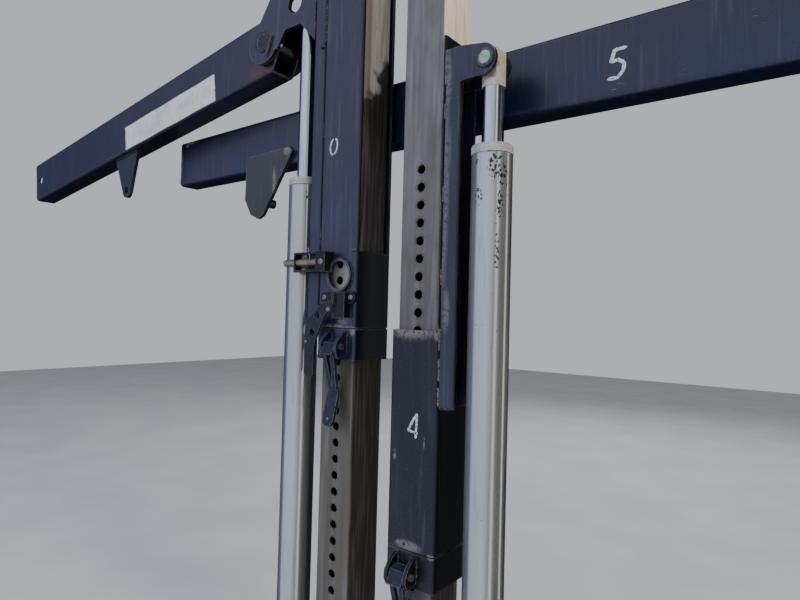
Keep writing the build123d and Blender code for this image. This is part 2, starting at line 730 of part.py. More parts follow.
# Pad plate between the right sleeve's back wall and the deck beam
with BuildPart() as beam_pad:
    with BuildSketch(front_plane(BEAM_FRONT_Y)):
        with Locations((post_x(RIGHT), BEAM_LOW + BEAM_HEIGHT / 2)):
            Rectangle(SLEEVE_SIDE + 40, BEAM_HEIGHT - 24)
    extrude(amount=BEAM_PAD)
write(beam_pad.part, "beam_pad")

# Hanger plate on the deck beam's face, with the stub pin that it carries
with BuildPart() as hanger:
    with BuildSketch(front_plane(BEAM_FRONT_Y)):
        with BuildLine():
            Polyline(
                (-634, 1337),
                (-631, 1466),
                (-440, 1471),
                (-424, 1459),
                (-548, 1283),
                (-570, 1274),
                (-604, 1288),
                close=True,
            )
        make_face()
    extrude(amount=BEAM_PAD)
    with BuildSketch(front_plane(BEAM_FRONT_Y + 60)):
        with Locations((HANGER_PIN_X, HANGER_PIN_Z)):
            RegularPolygon(14, 16)
    extrude(amount=60 + BEAM_PAD)
write(hanger.part, "beam_hanger")
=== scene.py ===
import json
from math import cos, pi, radians, sin

import bmesh
import bpy
import numpy as np
from mathutils import Matrix


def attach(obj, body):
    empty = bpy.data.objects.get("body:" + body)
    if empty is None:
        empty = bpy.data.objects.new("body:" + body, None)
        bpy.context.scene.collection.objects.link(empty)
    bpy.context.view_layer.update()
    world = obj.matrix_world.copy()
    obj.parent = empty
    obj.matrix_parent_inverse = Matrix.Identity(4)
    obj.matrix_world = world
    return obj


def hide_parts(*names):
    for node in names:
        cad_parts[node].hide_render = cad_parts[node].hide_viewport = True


# Looks for a twin lift-post station. Shapes are worked out in millimetres in
# the CAD's frame (X along the foot plate, -Y outwards, +Z up) and become metres
# when they are put into a mesh.

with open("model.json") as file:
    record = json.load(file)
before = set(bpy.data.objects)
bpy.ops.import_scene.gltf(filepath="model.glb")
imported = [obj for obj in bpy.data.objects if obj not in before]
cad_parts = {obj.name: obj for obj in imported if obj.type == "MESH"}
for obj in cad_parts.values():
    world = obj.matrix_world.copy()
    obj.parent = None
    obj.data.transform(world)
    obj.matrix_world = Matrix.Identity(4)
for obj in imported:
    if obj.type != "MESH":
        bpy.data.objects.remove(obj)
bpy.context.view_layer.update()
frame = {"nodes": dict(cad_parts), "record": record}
nodes = frame["nodes"]
MM = 0.001

# Sizes shared with the CAD, in millimetres
POST_X = {"left": -115.0, "right": 115.0}
POST_HALF, POST_CORNER, POST_WALL, INNER_CORNER = 51.5, 6.0, 6.4, 2.0
POST_LOW, POST_TOP = 20.0, 2150.0
HOLE_TOP = {"left": 1303.3, "right": 1307.7}
HOLE_PITCH, HOLE_COUNT, HOLE_RADIUS = 38.1, 26, 10.0
SLEEVE_HALF = 61.0
FRONT_Y = -SLEEVE_HALF
SLEEVE_LOW = {"left": 964.0, "right": 508.0}
SLEEVE_SIDE = {"left": POST_X["left"] - SLEEVE_HALF, "right": POST_X["right"] + SLEEVE_HALF}
COLLAR_GAP = 3.0
STRONGBACK_REACH = 38.0
LATCH_X = {"left": -106.0, "right": 106.0}
LATCH_Z = {"left": 921.0, "right": 465.0}
LATCH_PIN_Y = -83.0
CHEEK_FACES = (-28.5, -19.5, 19.5, 28.5)
STRAP_EDGES = (-30.5, 30.5)
RIB_FACES, RIB_START, RIB_END = (-34.5, -25.5, 25.5, 34.5), 56.0, 92.0
LUG_FACES, LUG_HALF = (-45.0, -56.0, 4.5, -5.5), 46.0
BRACKET_X, BRACKET_Z, BRACKET_BOLTS = -104.5, 1034.0, 42.0
CYLINDER_X = {"left": -270.0, "right": 270.0}
CYLINDER_Y = -25.5
GLAND_LOW, GLAND_HEIGHT, GLAND_RADIUS, ROD_RADIUS = 1317.0, 21.0, 42.0, 22.3
EYE_Z = {"left": 1860.0, "right": 1505.0}
EYE_FOOT = 50.0
PIN_HEAD_Y = FRONT_Y - 4.0
FOOT_HEAD_Y, FOOT_PIN_Z = -59.5, 95.0
SPRING_PIN_Y, SPRING_PIN_Z, SPRING_PIN_RADIUS = -82.0, 1117.0, 9.05
WINDOW_X, WINDOW_Z, RING_RADIUS = -104.0, 1086.0, 38.5
PIVOT_X, PIVOT_Z, ARM_FRONT_Y = -415.0, 1721.0, -44.0
ARM_DROP = radians(7.3)
BEAM_FRONT_Y = 73.0


# Colours and finishes

def linear(hex_colour):
    """An sRGB hex colour as linear RGBA: each channel c becomes
    c/12.92 below 0.04045 and ((c + 0.055)/1.055)^2.4 above it."""
    c = np.array([int(hex_colour[i:i + 2], 16) for i in (1, 3, 5)]) / 255
    c = np.where(c <= 0.04045, c / 12.92, ((c + 0.055) / 1.055) ** 2.4)
    return (*c, 1.0)


def node(tree, kind, inputs=None, out=0, **settings):
    """Adds a node with its settings and links, and returns one of its outputs.
    An input is a value or another node's output."""
    new = tree.nodes.new("ShaderNode" + kind)
    for name, value in settings.items():
        setattr(new, name, value)
    for key, value in (inputs or {}).items():
        if isinstance(value, bpy.types.NodeSocket):
            tree.links.new(value, new.inputs[key])
        else:
            new.inputs[key].default_value = value
    return new.outputs[out] if new.outputs else new


def bare_material(name):
    """A material with an empty tree, and the shaded point in millimetres."""
    material = bpy.data.materials.new(name)
    material.use_nodes = True
    tree = material.node_tree
    tree.nodes.clear()
    place = node(tree, "TexCoord", out="Object")
    at = node(tree, "VectorMath", {0: place, 3: 1000.0}, operation="SCALE")
    return material, tree, at


def blotches(tree, at, size, low, high, most=1.0, stretch=(1, 1, 1), detail=4, within=None):
    """Ragged patches about size millimetres wide, longer along an axis by its
    stretch: fractal noise is 0 below low and most above high, times within."""
    spread = [1 / (size * s) for s in stretch]
    where = node(tree, "VectorMath", {0: at, 1: spread}, operation="MULTIPLY")
    cloud = node(tree, "TexNoise", {"Vector": where, "Scale": 1.0, "Detail": detail})
    mask = node(tree, "MapRange", {0: cloud, 1: low, 2: high, 3: 0.0, 4: most},
                interpolation_type="SMOOTHSTEP")
    if within is not None:
        mask = node(tree, "Math", {0: mask, 1: within}, operation="MULTIPLY")
    return mask


def rubbed_edges(tree, reach):
    """1 at edges within the reach in millimetres and 0 on flat faces: how far
    a rounded normal leans away from the true one."""
    rounded = node(tree, "Bevel", {"Radius": reach * MM}, samples=6)
    true = node(tree, "NewGeometry", out="Normal")
    same = node(tree, "VectorMath", {0: rounded, 1: true}, "Value", operation="DOT_PRODUCT")
    return node(tree, "MapRange", {0: same, 1: 0.995, 2: 0.8, 3: 0.0, 4: 1.0},
                interpolation_type="SMOOTHSTEP")


def stretch_of(tree, at, axis, start, end, low=0.0):
    """low before start along an axis and 1 after end, in millimetres."""
    along = node(tree, "SeparateXYZ", {0: at}, axis)
    return node(tree, "MapRange", {0: along, 1: start, 2: end, 3: low, 4: 1.0},
                interpolation_type="SMOOTHSTEP")


def looking(tree, axis, start, end, most=1.0):
    """0 to most as the surface's lean along an axis goes from start to end."""
    normal = node(tree, "NewGeometry", out="Normal")
    lean = node(tree, "SeparateXYZ", {0: normal}, axis)
    return node(tree, "MapRange", {0: lean, 1: start, 2: end, 3: 0.0, 4: most},
                interpolation_type="SMOOTHSTEP")


def wear_and_light_places(tree, at, places):
    """The largest of several soft ellipsoids, each (centre, reach) in
    millimetres: 1 near its centre and 0 at its skin."""
    total = 0.0
    for centre, reach in places:
        off = node(tree, "VectorMath", {0: at, 1: centre}, operation="SUBTRACT")
        off = node(tree, "VectorMath", {0: off, 1: reach}, operation="DIVIDE")
        far = node(tree, "VectorMath", {0: off}, "Value", operation="LENGTH")
        inside = node(tree, "MapRange", {0: far, 1: 1.0, 2: 0.35, 3: 0.0, 4: 1.0},
                      interpolation_type="SMOOTHSTEP")
        total = node(tree, "Math", {0: inside, 1: total}, operation="MAXIMUM")
    return total


def in_layers(tree, base, layers):
    """A colour with others laid over it, each where its mask says."""
    for mask, tint in layers:
        base = node(tree, "Mix", {0: mask, 6: base, 7: linear(tint)}, 2, data_type="RGBA")
    return base


def close(material, tree, colour, height, depth, **shader):
    """Ends a material: a bump of depth millimetres, its surface shader, whose
    sockets are named with _ for a space, and the output."""
    bump = node(tree, "Bump", {"Height": height, "Strength": 0.5, "Distance": depth * MM})
    sockets = {name.replace("_", " "): value for name, value in shader.items()}
    surface = node(tree, "BsdfPrincipled", {"Base Color": colour, "Normal": bump, **sockets})
    node(tree, "OutputMaterial", {"Surface": surface})
    return material


def navy_enamel(name, upper, lower, change, violet, worn=(), dust=0.2, rub=1.0, sheen=0.38,
                scraped="#757071", rusty=(), coat=0.5):
    """Sprayed semi-gloss navy enamel on steel: nearly black, with a cool sheen.
    Its colour paints light too: it goes from the lower to the upper colour
    with height as a painted reflection, violet patches are painted sheen,
    and faces that look along +X are darkened as painted shade. It shows
    faint orange peel, road dust in runs, edges rubbed to grey primer and
    places worn by handling."""
    material, tree, at = bare_material(name)
    high = stretch_of(tree, at, 2, *change)
    painted_sheen_patches = blotches(tree, at, 80, 0.36, 0.68, 0.8, (1, 1, 2.4), 5)
    edges = blotches(tree, at, 40, 0.36, 0.6, rub, (1, 1, 2), within=rubbed_edges(tree, 2.4))
    edges = blotches(tree, at, 3.2, 0.3, 0.6, within=edges)
    scratches = blotches(tree, at, 1.6, 0.69, 0.75, 0.5, (14, 1, 0.7), 2,
                         within=blotches(tree, at, 70, 0.52, 0.7))
    bare = blotches(tree, at, 7, 0.3, 0.52, 0.95, (1, 1, 1), 6, within=wear_and_light_places(tree, at, worn))
    rust = blotches(tree, at, 20, 0.2, 0.6, 0.85, (1, 1, 1), 5, within=wear_and_light_places(tree, at, rusty))
    lost = node(tree, "Math", {0: edges, 1: bare}, operation="MAXIMUM")
    colour = in_layers(tree, linear(lower), [
        # Painted reflection: the upper colour over the lower with height, then violet patches of painted
        # sheen
        (high, upper),
        (painted_sheen_patches, violet),
        (blotches(tree, at, 9, 0.52, 0.8, dust, (1, 1, 18)), "#6d6e74"),
        (blotches(tree, at, 2.6, 0.62, 0.72, 0.35, (1, 1, 1), 2), "#50525c"),
        # Painted shade: faces that look along +X are darkened
        (looking(tree, 0, 0.4, 0.8, 0.75), "#07090f"),
        (rust, "#48271f"),
        (scratches, "#8b8e98"),
        (edges, "#8d9099"),
        (bare, scraped)])
    peel = blotches(tree, at, 2.4, 0.3, 0.7, 0.35, (1, 1, 1), 3)
    height = node(tree, "Math", {0: peel, 1: lost}, operation="SUBTRACT")
    rough = node(tree, "MapRange", {0: lost, 1: 0.0, 2: 1.0, 3: sheen, 4: 0.62})
    return close(material, tree, colour, height, 0.2, Roughness=rough, IOR=1.46,
                 Coat_Weight=coat, Coat_Roughness=0.25)


def post_steel(name, side, upper, lower, sun_line, sun_edge, window_light=()):
    """Rolled steel tube, unpainted, greased and rubbed by the carriage: grey
    with runs along its length, brown where grease holds dust, a dull ring
    round each hole and pale rubbed corners. Its colour paints light too:
    painted shade on the side that looks along +X, painted sunlight on that
    side's top, and pale patches of painted light at the given places."""
    material, tree, at = bare_material(name)
    runs = blotches(tree, at, 12, 0.34, 0.68, 0.85, (1, 1, 24), 5)
    # The dull rings: how far a point lies from the nearest hole, whose height
    # repeats at the pitch, on the front face and below the row's top
    offset = [POST_X[side], 0.0, HOLE_TOP[side] + HOLE_PITCH / 2]
    local = node(tree, "VectorMath", {0: at, 1: offset}, operation="SUBTRACT")
    across = node(tree, "SeparateXYZ", {0: local}, 0)
    down = node(tree, "SeparateXYZ", {0: local}, 2)
    up = node(tree, "Math", {0: down, 1: HOLE_PITCH / 2, 2: HOLE_PITCH / 2}, operation="PINGPONG")
    up = node(tree, "Math", {0: HOLE_PITCH / 2, 1: up}, operation="SUBTRACT")
    flat = node(tree, "CombineXYZ", {0: across, 1: up})
    reach = node(tree, "VectorMath", {0: flat}, "Value", operation="LENGTH")
    front = looking(tree, 1, -0.5, -0.9)
    in_row = stretch_of(tree, at, 2, HOLE_TOP[side] + 17, HOLE_TOP[side] + 13)
    grease = node(tree, "MapRange", {0: reach, 1: HOLE_RADIUS + 7, 2: HOLE_RADIUS + 0.5, 3: 0.0, 4: 0.8},
                  interpolation_type="SMOOTHSTEP")
    grease = node(tree, "Math", {0: grease, 1: front}, operation="MULTIPLY")
    grease = node(tree, "Math", {0: grease, 1: in_row}, operation="MULTIPLY")
    column = node(tree, "Math", {0: across}, operation="ABSOLUTE")
    corner = node(tree, "MapRange", {0: column, 1: POST_HALF - 17.5, 2: POST_HALF - 3.5, 3: 0.0, 4: 0.75},
                  interpolation_type="SMOOTHSTEP")
    high = stretch_of(tree, at, 2, 900, 1250)
    # Painted shade on the face that looks along +X, and painted sunlight on it
    #     # above a ragged line of painted shadow that slopes with Y, fainter before sun_edge
    painted_shade = looking(tree, 0, 0.4, 0.8)
    line = blotches(tree, at, 60, 0.3, 0.7, 70.0, (1, 1, 1), 2)
    tilt = node(tree, "VectorMath", {0: at, 1: [0.0, -0.9, 1.0]}, "Value", operation="DOT_PRODUCT")
    tilt = node(tree, "Math", {0: tilt, 1: line}, operation="ADD")
    painted_sunlight = node(tree, "MapRange", {0: tilt, 1: sun_line, 2: sun_line + 40.0, 3: 0.0, 4: 1.0},
                 interpolation_type="SMOOTHSTEP")
    painted_sunlight = node(tree, "Math", {0: painted_sunlight, 1: painted_shade}, operation="MULTIPLY")
    sunlight_fade = stretch_of(tree, at, 1, sun_edge, sun_edge + 14, 0.25)
    painted_sunlight = node(tree, "Math", {0: painted_sunlight, 1: sunlight_fade}, operation="MULTIPLY")
    colour = in_layers(tree, linear(lower), [
        (high, upper),
        (blotches(tree, at, 12, 0.3, 0.72, 0.42, (1, 1, 26), 5), "#413e3a"),
        (blotches(tree, at, 30, 0.46, 0.74, 0.5, (1, 1, 2), 6), "#58504a"),
        (blotches(tree, at, 16, 0.52, 0.72, 0.4, (1, 1, 14), 5), "#8a8b92"),
        (blotches(tree, at, 7, 0.5, 0.8, 0.4, (1, 1, 30), 3, within=corner), "#8d877c"),
        (blotches(tree, at, 5, 0.35, 0.65, within=grease), "#23211f"),
        (blotches(tree, at, 14, 0.32, 0.6, 0.8, (1, 1, 10), 4, within=rubbed_edges(tree, 6)), "#9a978f"),
        # Pale patches of painted light at the given places, where the post shows through the window
        (blotches(tree, at, 8, 0.2, 0.5, within=wear_and_light_places(tree, at, window_light)), "#95938f"),
        # Painted shade on the face that looks along +X, with streaks in it, then painted sunlight over its
        # top, with streaks in it
        (painted_shade, "#37322e"),
        (blotches(tree, at, 8, 0.4, 0.75, 0.8, (1, 1, 20), 4, within=painted_shade), "#6b635a"),
        (painted_sunlight, "#ece3d4"),
        (blotches(tree, at, 6, 0.48, 0.7, 0.6, (1, 1, 24), 5, within=painted_sunlight), "#9c8874"),
        (blotches(tree, at, 5, 0.66, 0.76, 0.8, (1, 1, 2), 4, within=painted_sunlight), "#4a3c33")])
    rough = node(tree, "MapRange", {0: runs, 1: 0.0, 2: 1.0, 3: 0.42, 4: 0.6})
    grain = blotches(tree, at, 3, 0.2, 0.8, 1.0, (1, 1, 6))
    return close(material, tree, colour, grain, 0.25, Roughness=rough, Metallic=0.12)


def barrel_enamel(name, chipped):
    """Glossy silver enamel on a cold-drawn tube: pale with faint runs along
    its length, a painted dark reflection on the side that looks along +Y,
    and black primer where stones have chipped it."""
    material, tree, at = bare_material(name)
    # Painted dark reflection: a dark streaky band on the faces that look along +Y
    painted_dark_reflection = looking(tree, 1, -0.35, 0.3)
    chips = blotches(tree, at, 4.6, 0.52, 0.55, 1.0, (1, 1, 1.3), 4, within=wear_and_light_places(tree, at, chipped))
    few = blotches(tree, at, 6, 0.71, 0.725, 1.0, (1, 1, 1.2), 5)
    chip = node(tree, "Math", {0: chips, 1: few}, operation="MAXIMUM")
    chip = node(tree, "MapRange", {0: chip, 1: 0.3, 2: 0.4, 3: 0.0, 4: 1.0})
    colour = in_layers(tree, linear("#c3c6c8"), [
        (blotches(tree, at, 60, 0.35, 0.65, 0.8, (1, 1, 8), 3), "#b9bbbb"),
        (blotches(tree, at, 10, 0.55, 0.8, 0.4, (1, 1, 12)), "#85837f"),
        (blotches(tree, at, 30, 0.3, 0.7, 0.75, (1, 1, 14), within=painted_dark_reflection), "#4e4b48"),
        (chip, "#141416")])
    rough = node(tree, "MapRange", {0: chip, 1: 0.0, 2: 1.0, 3: 0.16, 4: 0.7})
    metal = node(tree, "MapRange", {0: chip, 1: 0.0, 2: 1.0, 3: 0.8, 4: 0.0})
    orange_peel = blotches(tree, at, 4, 0.3, 0.7, 0.15, detail=2)
    height = node(tree, "Math", {0: orange_peel, 1: chip}, operation="SUBTRACT")
    return close(material, tree, colour, height, 0.15, Roughness=rough, Metallic=metal,
                 Coat_Weight=0.5, Coat_Roughness=0.06)


def chromed_rod(name, eye_low):
    """Ground and hard-chromed rod: a mirror with a thin uneven oil film. Above
    eye_low its forged eye is bare: pale weathered steel with brown stains."""
    material, tree, at = bare_material(name)
    eye = stretch_of(tree, at, 2, eye_low - 0.4, eye_low + 0.4)
    film = blotches(tree, at, 24, 0.4, 0.7, 1.0, (1, 1, 10))
    colour = in_layers(tree, linear("#dde2e8"), [
        (film, "#b9c0c9"),
        (eye, "#c6beb1"),
        (blotches(tree, at, 14, 0.4, 0.7, 0.85, within=eye), "#a69b8b"),
        (blotches(tree, at, 5, 0.58, 0.72, 0.8, within=eye), "#d3ccc0"),
        (blotches(tree, at, 18, 0.55, 0.72, 0.7, within=eye), "#5f4f41")])
    polish = node(tree, "MapRange", {0: film, 1: 0.0, 2: 1.0, 3: 0.06, 4: 0.16})
    rough = node(tree, "Mix", {0: eye, 2: polish, 3: 0.55}, 0, data_type="FLOAT")
    metal = node(tree, "MapRange", {0: eye, 1: 0.0, 2: 1.0, 3: 1.0, 4: 0.3})
    pits = blotches(tree, at, 2.4, 0.3, 0.7, 1.0, within=eye)
    return close(material, tree, colour, pits, 0.3, Roughness=rough, Metallic=metal)


def handled_steel(name, base, blotch, stain, edge, rough, metal, tinted_places=()):
    """Forged or turned steel handled for years: dark scale, rust-brown stains
    and edges polished by hands and weather."""
    material, tree, at = bare_material(name)
    patches = [(blotches(tree, at, 14, 0.5, 0.74, 0.7, detail=5), stain)]
    for tint, places in tinted_places:
        patches.append((blotches(tree, at, 8, 0.25, 0.6, within=wear_and_light_places(tree, at, places)), tint))
    colour = in_layers(tree, linear(base), [
        (blotches(tree, at, 12, 0.34, 0.68, detail=5), blotch), *patches,
        (blotches(tree, at, 6, 0.3, 0.6, 0.9, within=rubbed_edges(tree, 2.6)), edge)])
    dull = blotches(tree, at, 5, 0.3, 0.7, detail=3)
    rough = node(tree, "MapRange", {0: dull, 1: 0.0, 2: 1.0, 3: rough - 0.1, 4: rough + 0.15})
    grain = blotches(tree, at, 2.2, 0.2, 0.8)
    return close(material, tree, colour, grain, 0.25, Roughness=rough, Metallic=metal)


def weld_metal(name, base, crest):
    """A hand-laid weld bead under old enamel: its crests are rubbed pale."""
    material, tree, at = bare_material(name)
    colour = in_layers(tree, linear(base), [
        (blotches(tree, at, 4, 0.45, 0.7, 0.8, detail=3), crest),
        (blotches(tree, at, 12, 0.6, 0.75, 0.7), "#5a4436")])
    return close(material, tree, colour, blotches(tree, at, 2, 0.2, 0.8), 0.3, Roughness=0.5, Metallic=0.2)


def worn_vinyl(name):
    """A blank sign-vinyl strip: off-white, grimy along its runs, yellowed in
    patches, with small tears and scuffs down to the enamel under it."""
    material, tree, at = bare_material(name)
    colour = in_layers(tree, linear("#cfd3d6"), [
        (blotches(tree, at, 60, 0.4, 0.7, 0.6, (2.5, 1, 1), 5), "#a9adb0"),
        (blotches(tree, at, 26, 0.5, 0.72, 0.5, detail=5), "#b9b49a"),
        (blotches(tree, at, 6, 0.54, 0.8, 0.6, (1, 1, 4), 4), "#84888e"),
        (blotches(tree, at, 5, 0.67, 0.70, 1.0, (2, 1, 1), 6), "#272b3c")])
    return close(material, tree, colour, blotches(tree, at, 9, 0.2, 0.8), 0.3, Roughness=0.42)


def marker_paint(name):
    """Position numbers brushed on in white: thin where the brush ran dry."""
    material, tree, at = bare_material(name)
    colour = in_layers(tree, linear("#c6ced8"), [(blotches(tree, at, 4, 0.52, 0.68, 0.85), "#4a4f60")])
    return close(material, tree, colour, blotches(tree, at, 3, 0.2, 0.8), 0.2, Roughness=0.6)


def sawn_plastic(name):
    """Sawn black polyethylene: dull, with saw marks drawn coarser than real,
    about a millimetre apart."""
    material, tree, at = bare_material(name)
    colour = in_layers(tree, linear("#1b1b1c"), [(blotches(tree, at, 12, 0.4, 0.7), "#2c2c2e")])
    saw_marks = blotches(tree, at, 0.9, 0.2, 0.8, 1.0, (1, 1, 8), 2)
    return close(material, tree, colour, saw_marks, 0.2, Roughness=0.6)


def floor_paint(name):
    """A plain pale studio floor with a very faint unevenness."""
    material, tree, at = bare_material(name)
    colour = in_layers(tree, linear("#c3c6c9"), [(blotches(tree, at, 400, 0.3, 0.7, detail=2), "#cccfd1")])
    return close(material, tree, colour, 0.5, 0.1, Roughness=0.8)


# Surfaces

# FILM_LIFT is how far paint and vinyl stand proud; a bead's centre line has a
# point at each step and swells once in each ripple
MERGE_DISTANCE, SHARP_ANGLE = 0.02 * MM, radians(38)
FILM_LIFT = 0.5
BEAD_STEP, BEAD_RIPPLE = 1.25, 5.0
CORNER_STEPS = 6


def patch(points, closed=False):
    """Turns an (n, m, 3) grid of points into (vertices, quads). Quad (i, j)
    joins rows i, i+1 and columns j, j+1; a closed grid also joins its last
    column to its first."""
    n, m = points.shape[:2]
    i = np.arange(n - 1)[:, None]
    j = np.arange(m if closed else m - 1)[None, :]
    i2, j2 = i + 1, (j + 1) % m
    quads = np.stack([i * m + j, i2 * m + j, i2 * m + j2, i * m + j2], axis=-1)
    return points.reshape(-1, 3), quads.reshape(-1, 4)


def make(name, patches, material, body, replaces=()):
    """Puts patches, given in millimetres, into one mesh whose faces are turned
    outwards, and rides it on its body."""
    starts = np.cumsum([0] + [len(p) for p, _ in patches[:-1]])
    points = np.concatenate([p for p, _ in patches]) * MM
    quads = np.concatenate([q + s for (_, q), s in zip(patches, starts)])
    mesh = bpy.data.meshes.new(name)
    mesh.vertices.add(len(points))
    mesh.vertices.foreach_set("co", points.astype(np.float32).ravel())
    mesh.loops.add(quads.size)
    mesh.loops.foreach_set("vertex_index", quads.astype(np.int32).ravel())
    mesh.polygons.add(len(quads))
    mesh.polygons.foreach_set("loop_start", np.arange(0, quads.size, 4, dtype=np.int32))
    mesh.update(calc_edges=True)
    shell = bmesh.new()
    shell.from_mesh(mesh)
    bmesh.ops.remove_doubles(shell, verts=shell.verts, dist=MERGE_DISTANCE)
    bmesh.ops.recalc_face_normals(shell, faces=shell.faces)
    shell.to_mesh(mesh)
    shell.free()
    mesh.materials.append(material)
    mesh.polygons.foreach_set("use_smooth", np.ones(len(mesh.polygons), bool))
    mesh.set_sharp_from_angle(angle=SHARP_ANGLE)
    piece = bpy.data.objects.new(name, mesh)
    bpy.context.scene.collection.objects.link(piece)
    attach(piece, body)
    if replaces:
        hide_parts(*replaces)


def turned(profile, centre, axis, segments=48):
    """A profile of (radius, height) pairs revolved round an axis through the
    centre: point (i, j) = centre + r_i (u cos t_j + v sin t_j) + h_i axis.
    A radius of 0 closes an end."""
    profile = np.array(profile, float)
    axis = np.array(axis, float)
    u = np.cross(axis, (0.3, 0.5, 0.8))
    u /= np.linalg.norm(u)
    v = np.cross(axis, u)
    t = np.arange(segments) * 2 * pi / segments
    ring = np.cos(t)[:, None] * u + np.sin(t)[:, None] * v
    points = np.array(centre) + profile[:, :1, None] * ring[None] + profile[:, 1:, None] * axis
    return patch(points, closed=True)


def rod_along(path, radius, segments=8):
    """A round rod along a path: at each point a ring of its radius, square to
    the path, ring(t) = p + r (side cos t + other sin t). Its ends are points."""
    path = np.array(path, float)
    radius = np.full(len(path), radius, float)
    ahead = np.gradient(path, axis=0)
    ahead /= np.linalg.norm(ahead, axis=1)[:, None]
    side = np.cross(ahead, (0.31, 0.52, 0.79))
    side /= np.linalg.norm(side, axis=1)[:, None]
    other = np.cross(ahead, side)
    t = np.arange(segments) * 2 * pi / segments
    ring = np.cos(t)[None, :, None] * side[:, None] + np.sin(t)[None, :, None] * other[:, None]
    radius[[0, -1]] = 0.0
    return patch(path[:, None] + radius[:, None, None] * ring, closed=True)


def weld(path, size, seed):
    """A weld bead along a polyline: a rod whose radius is size (0.9 + 0.16
    |sin(pi s / ripple)| + a small seeded drift), where s is the length."""
    path = np.array(path, float)
    runs = np.linalg.norm(np.diff(path, axis=0), axis=1)
    s = np.linspace(0, runs.sum(), max(int(runs.sum() / BEAD_STEP), 6))
    at = np.concatenate([[0], np.cumsum(runs)])
    line = np.stack([np.interp(s, at, path[:, k]) for k in range(3)], axis=-1)
    rng = np.random.default_rng(seed)
    drift = np.interp(s, np.linspace(0, s[-1], 14), rng.uniform(-0.2, 0.25, 14))
    return rod_along(line, size * (0.9 + 0.16 * np.abs(np.sin(pi * s / BEAD_RIPPLE)) + drift))


def button(centre, axis, radius, height, socket=0.4):
    """A domed screw or rivet head: its profile is a quarter ellipse, with a
    round socket of this share of its radius sunk into the top."""
    t = np.linspace(0, pi / 2 * 0.78, 8)
    profile = [(radius, -0.3)] + [(radius * cos(a), height * sin(a)) for a in t]
    if socket:
        top = profile[-1][1]
        profile += [(radius * socket * 1.15, top + height * 0.12), (radius * socket, top),
                    (radius * socket * 0.9, top - height * 0.45)]
    profile += [(0.0, profile[-1][1] + (0 if socket else height * 0.04))]
    return turned(profile, centre, axis, 28)


def brushed(path, width, y, seed):
    """A brush stroke on a vertical face that looks along -Y: its path of (x, z)
    is offset to both sides by half the width, which tapers to its ends and
    wavers a little; the paint stands proud by its lift between its edges."""
    path = np.array(path, float)
    at = np.concatenate([[0], np.cumsum(np.linalg.norm(np.diff(path, axis=0), axis=1))])
    s = np.linspace(0, at[-1], 26)
    line = np.stack([np.interp(s, at, path[:, k]) for k in range(2)], axis=-1)
    ahead = np.gradient(line, axis=0)
    ahead /= np.linalg.norm(ahead, axis=1)[:, None]
    side = np.stack([-ahead[:, 1], ahead[:, 0]], axis=-1)
    rng = np.random.default_rng(seed)
    ends = np.sqrt(np.clip(np.minimum(s, s[-1] - s) / (0.6 * width) + 0.08, 0, 1))
    half = width / 2 * ends * (1 + rng.uniform(-0.13, 0.13, len(s)))
    across = np.array([-1.0, -0.7, 0.7, 1.0])
    flat = line[:, None] + side[:, None] * half[:, None, None] * across[None, :, None]
    lift = np.array([0.0, FILM_LIFT, FILM_LIFT, 0.0])[None, :] * np.ones((len(s), 1))
    lift[[0, -1]] = 0.0
    return patch(np.stack([flat[..., 0], y - lift, flat[..., 1]], axis=-1))


def rounded_square(half, corner, steps=CORNER_STEPS):
    """Points round a square with rounded corners, anticlockwise: each corner
    is a quarter turn round a centre that is half - corner from both axes."""
    t = np.linspace(0, pi / 2, steps + 1)
    arcs = []
    for k in range(4):
        turn = k * pi / 2
        centre = (half - corner) * np.array([cos(turn) - sin(turn), sin(turn) + cos(turn)])
        arcs.append(centre + corner * np.stack([np.cos(t + turn), np.sin(t + turn)], axis=-1))
    return np.concatenate(arcs)


def on_arm(along, up, y):
    """A point given along and up from the arm's pivot, on the hanging arm."""
    c, s = cos(ARM_DROP), sin(ARM_DROP)
    return (PIVOT_X - along * c - up * s, y, PIVOT_Z - along * s + up * c)


# Materials of this station. A worn, rusty, chipped or stained place, or a patch of painted
# # light, is a soft ellipsoid: (its centre, its reach along X, Y and Z).

LEFT_WORN = [((POST_X["left"], FRONT_Y, 966), (62, 12, 7)), ((WINDOW_X, -69, WINDOW_Z), (44, 7, 44)),
             ((-62, FRONT_Y, 957), (10, 11, 14)), ((-92, FRONT_Y, 990), (30, 10, 26))]
RIGHT_WORN = [((108, FRONT_Y, 968), (88, 12, 27)), ((172, FRONT_Y, 958), (12, 16, 16)),
              ((112, FRONT_Y, 516), (42, 12, 15)), ((84, FRONT_Y, 519), (9, 12, 6)),
              ((70, FRONT_Y, 700), (5, 10, 16)), ((168, FRONT_Y, 507), (12, 12, 8)),
              ((146, FRONT_Y, 735), (2.5, 9, 16)), ((113.7, -92, 468), (14, 12, 9))]
EAR_WORN = [((191, FRONT_Y, 1010), (12, 12, 60)), ((178, FRONT_Y, 1240), (19, 9, 310)),
            ((178, FRONT_Y, 1480), (20, 9, 90))]
HANGER_WORN = [((-446, SLEEVE_HALF, 1462), (22, 10, 18)), ((-500, SLEEVE_HALF, 1375), (10, 10, 60))]
ARM_WORN = [((-379, ARM_FRONT_Y, 1640), (26, 30, 24)), ((-346, -20, 1628), (30, 40, 20))]
ARM_RUST = [((-446, ARM_FRONT_Y, 1652), (70, 14, 36))]
BEAM_WORN = [((-1015, BEAM_FRONT_Y, 1500), (12, 20, 80)), ((-960, BEAM_FRONT_Y, 1570), (50, 20, 10))]
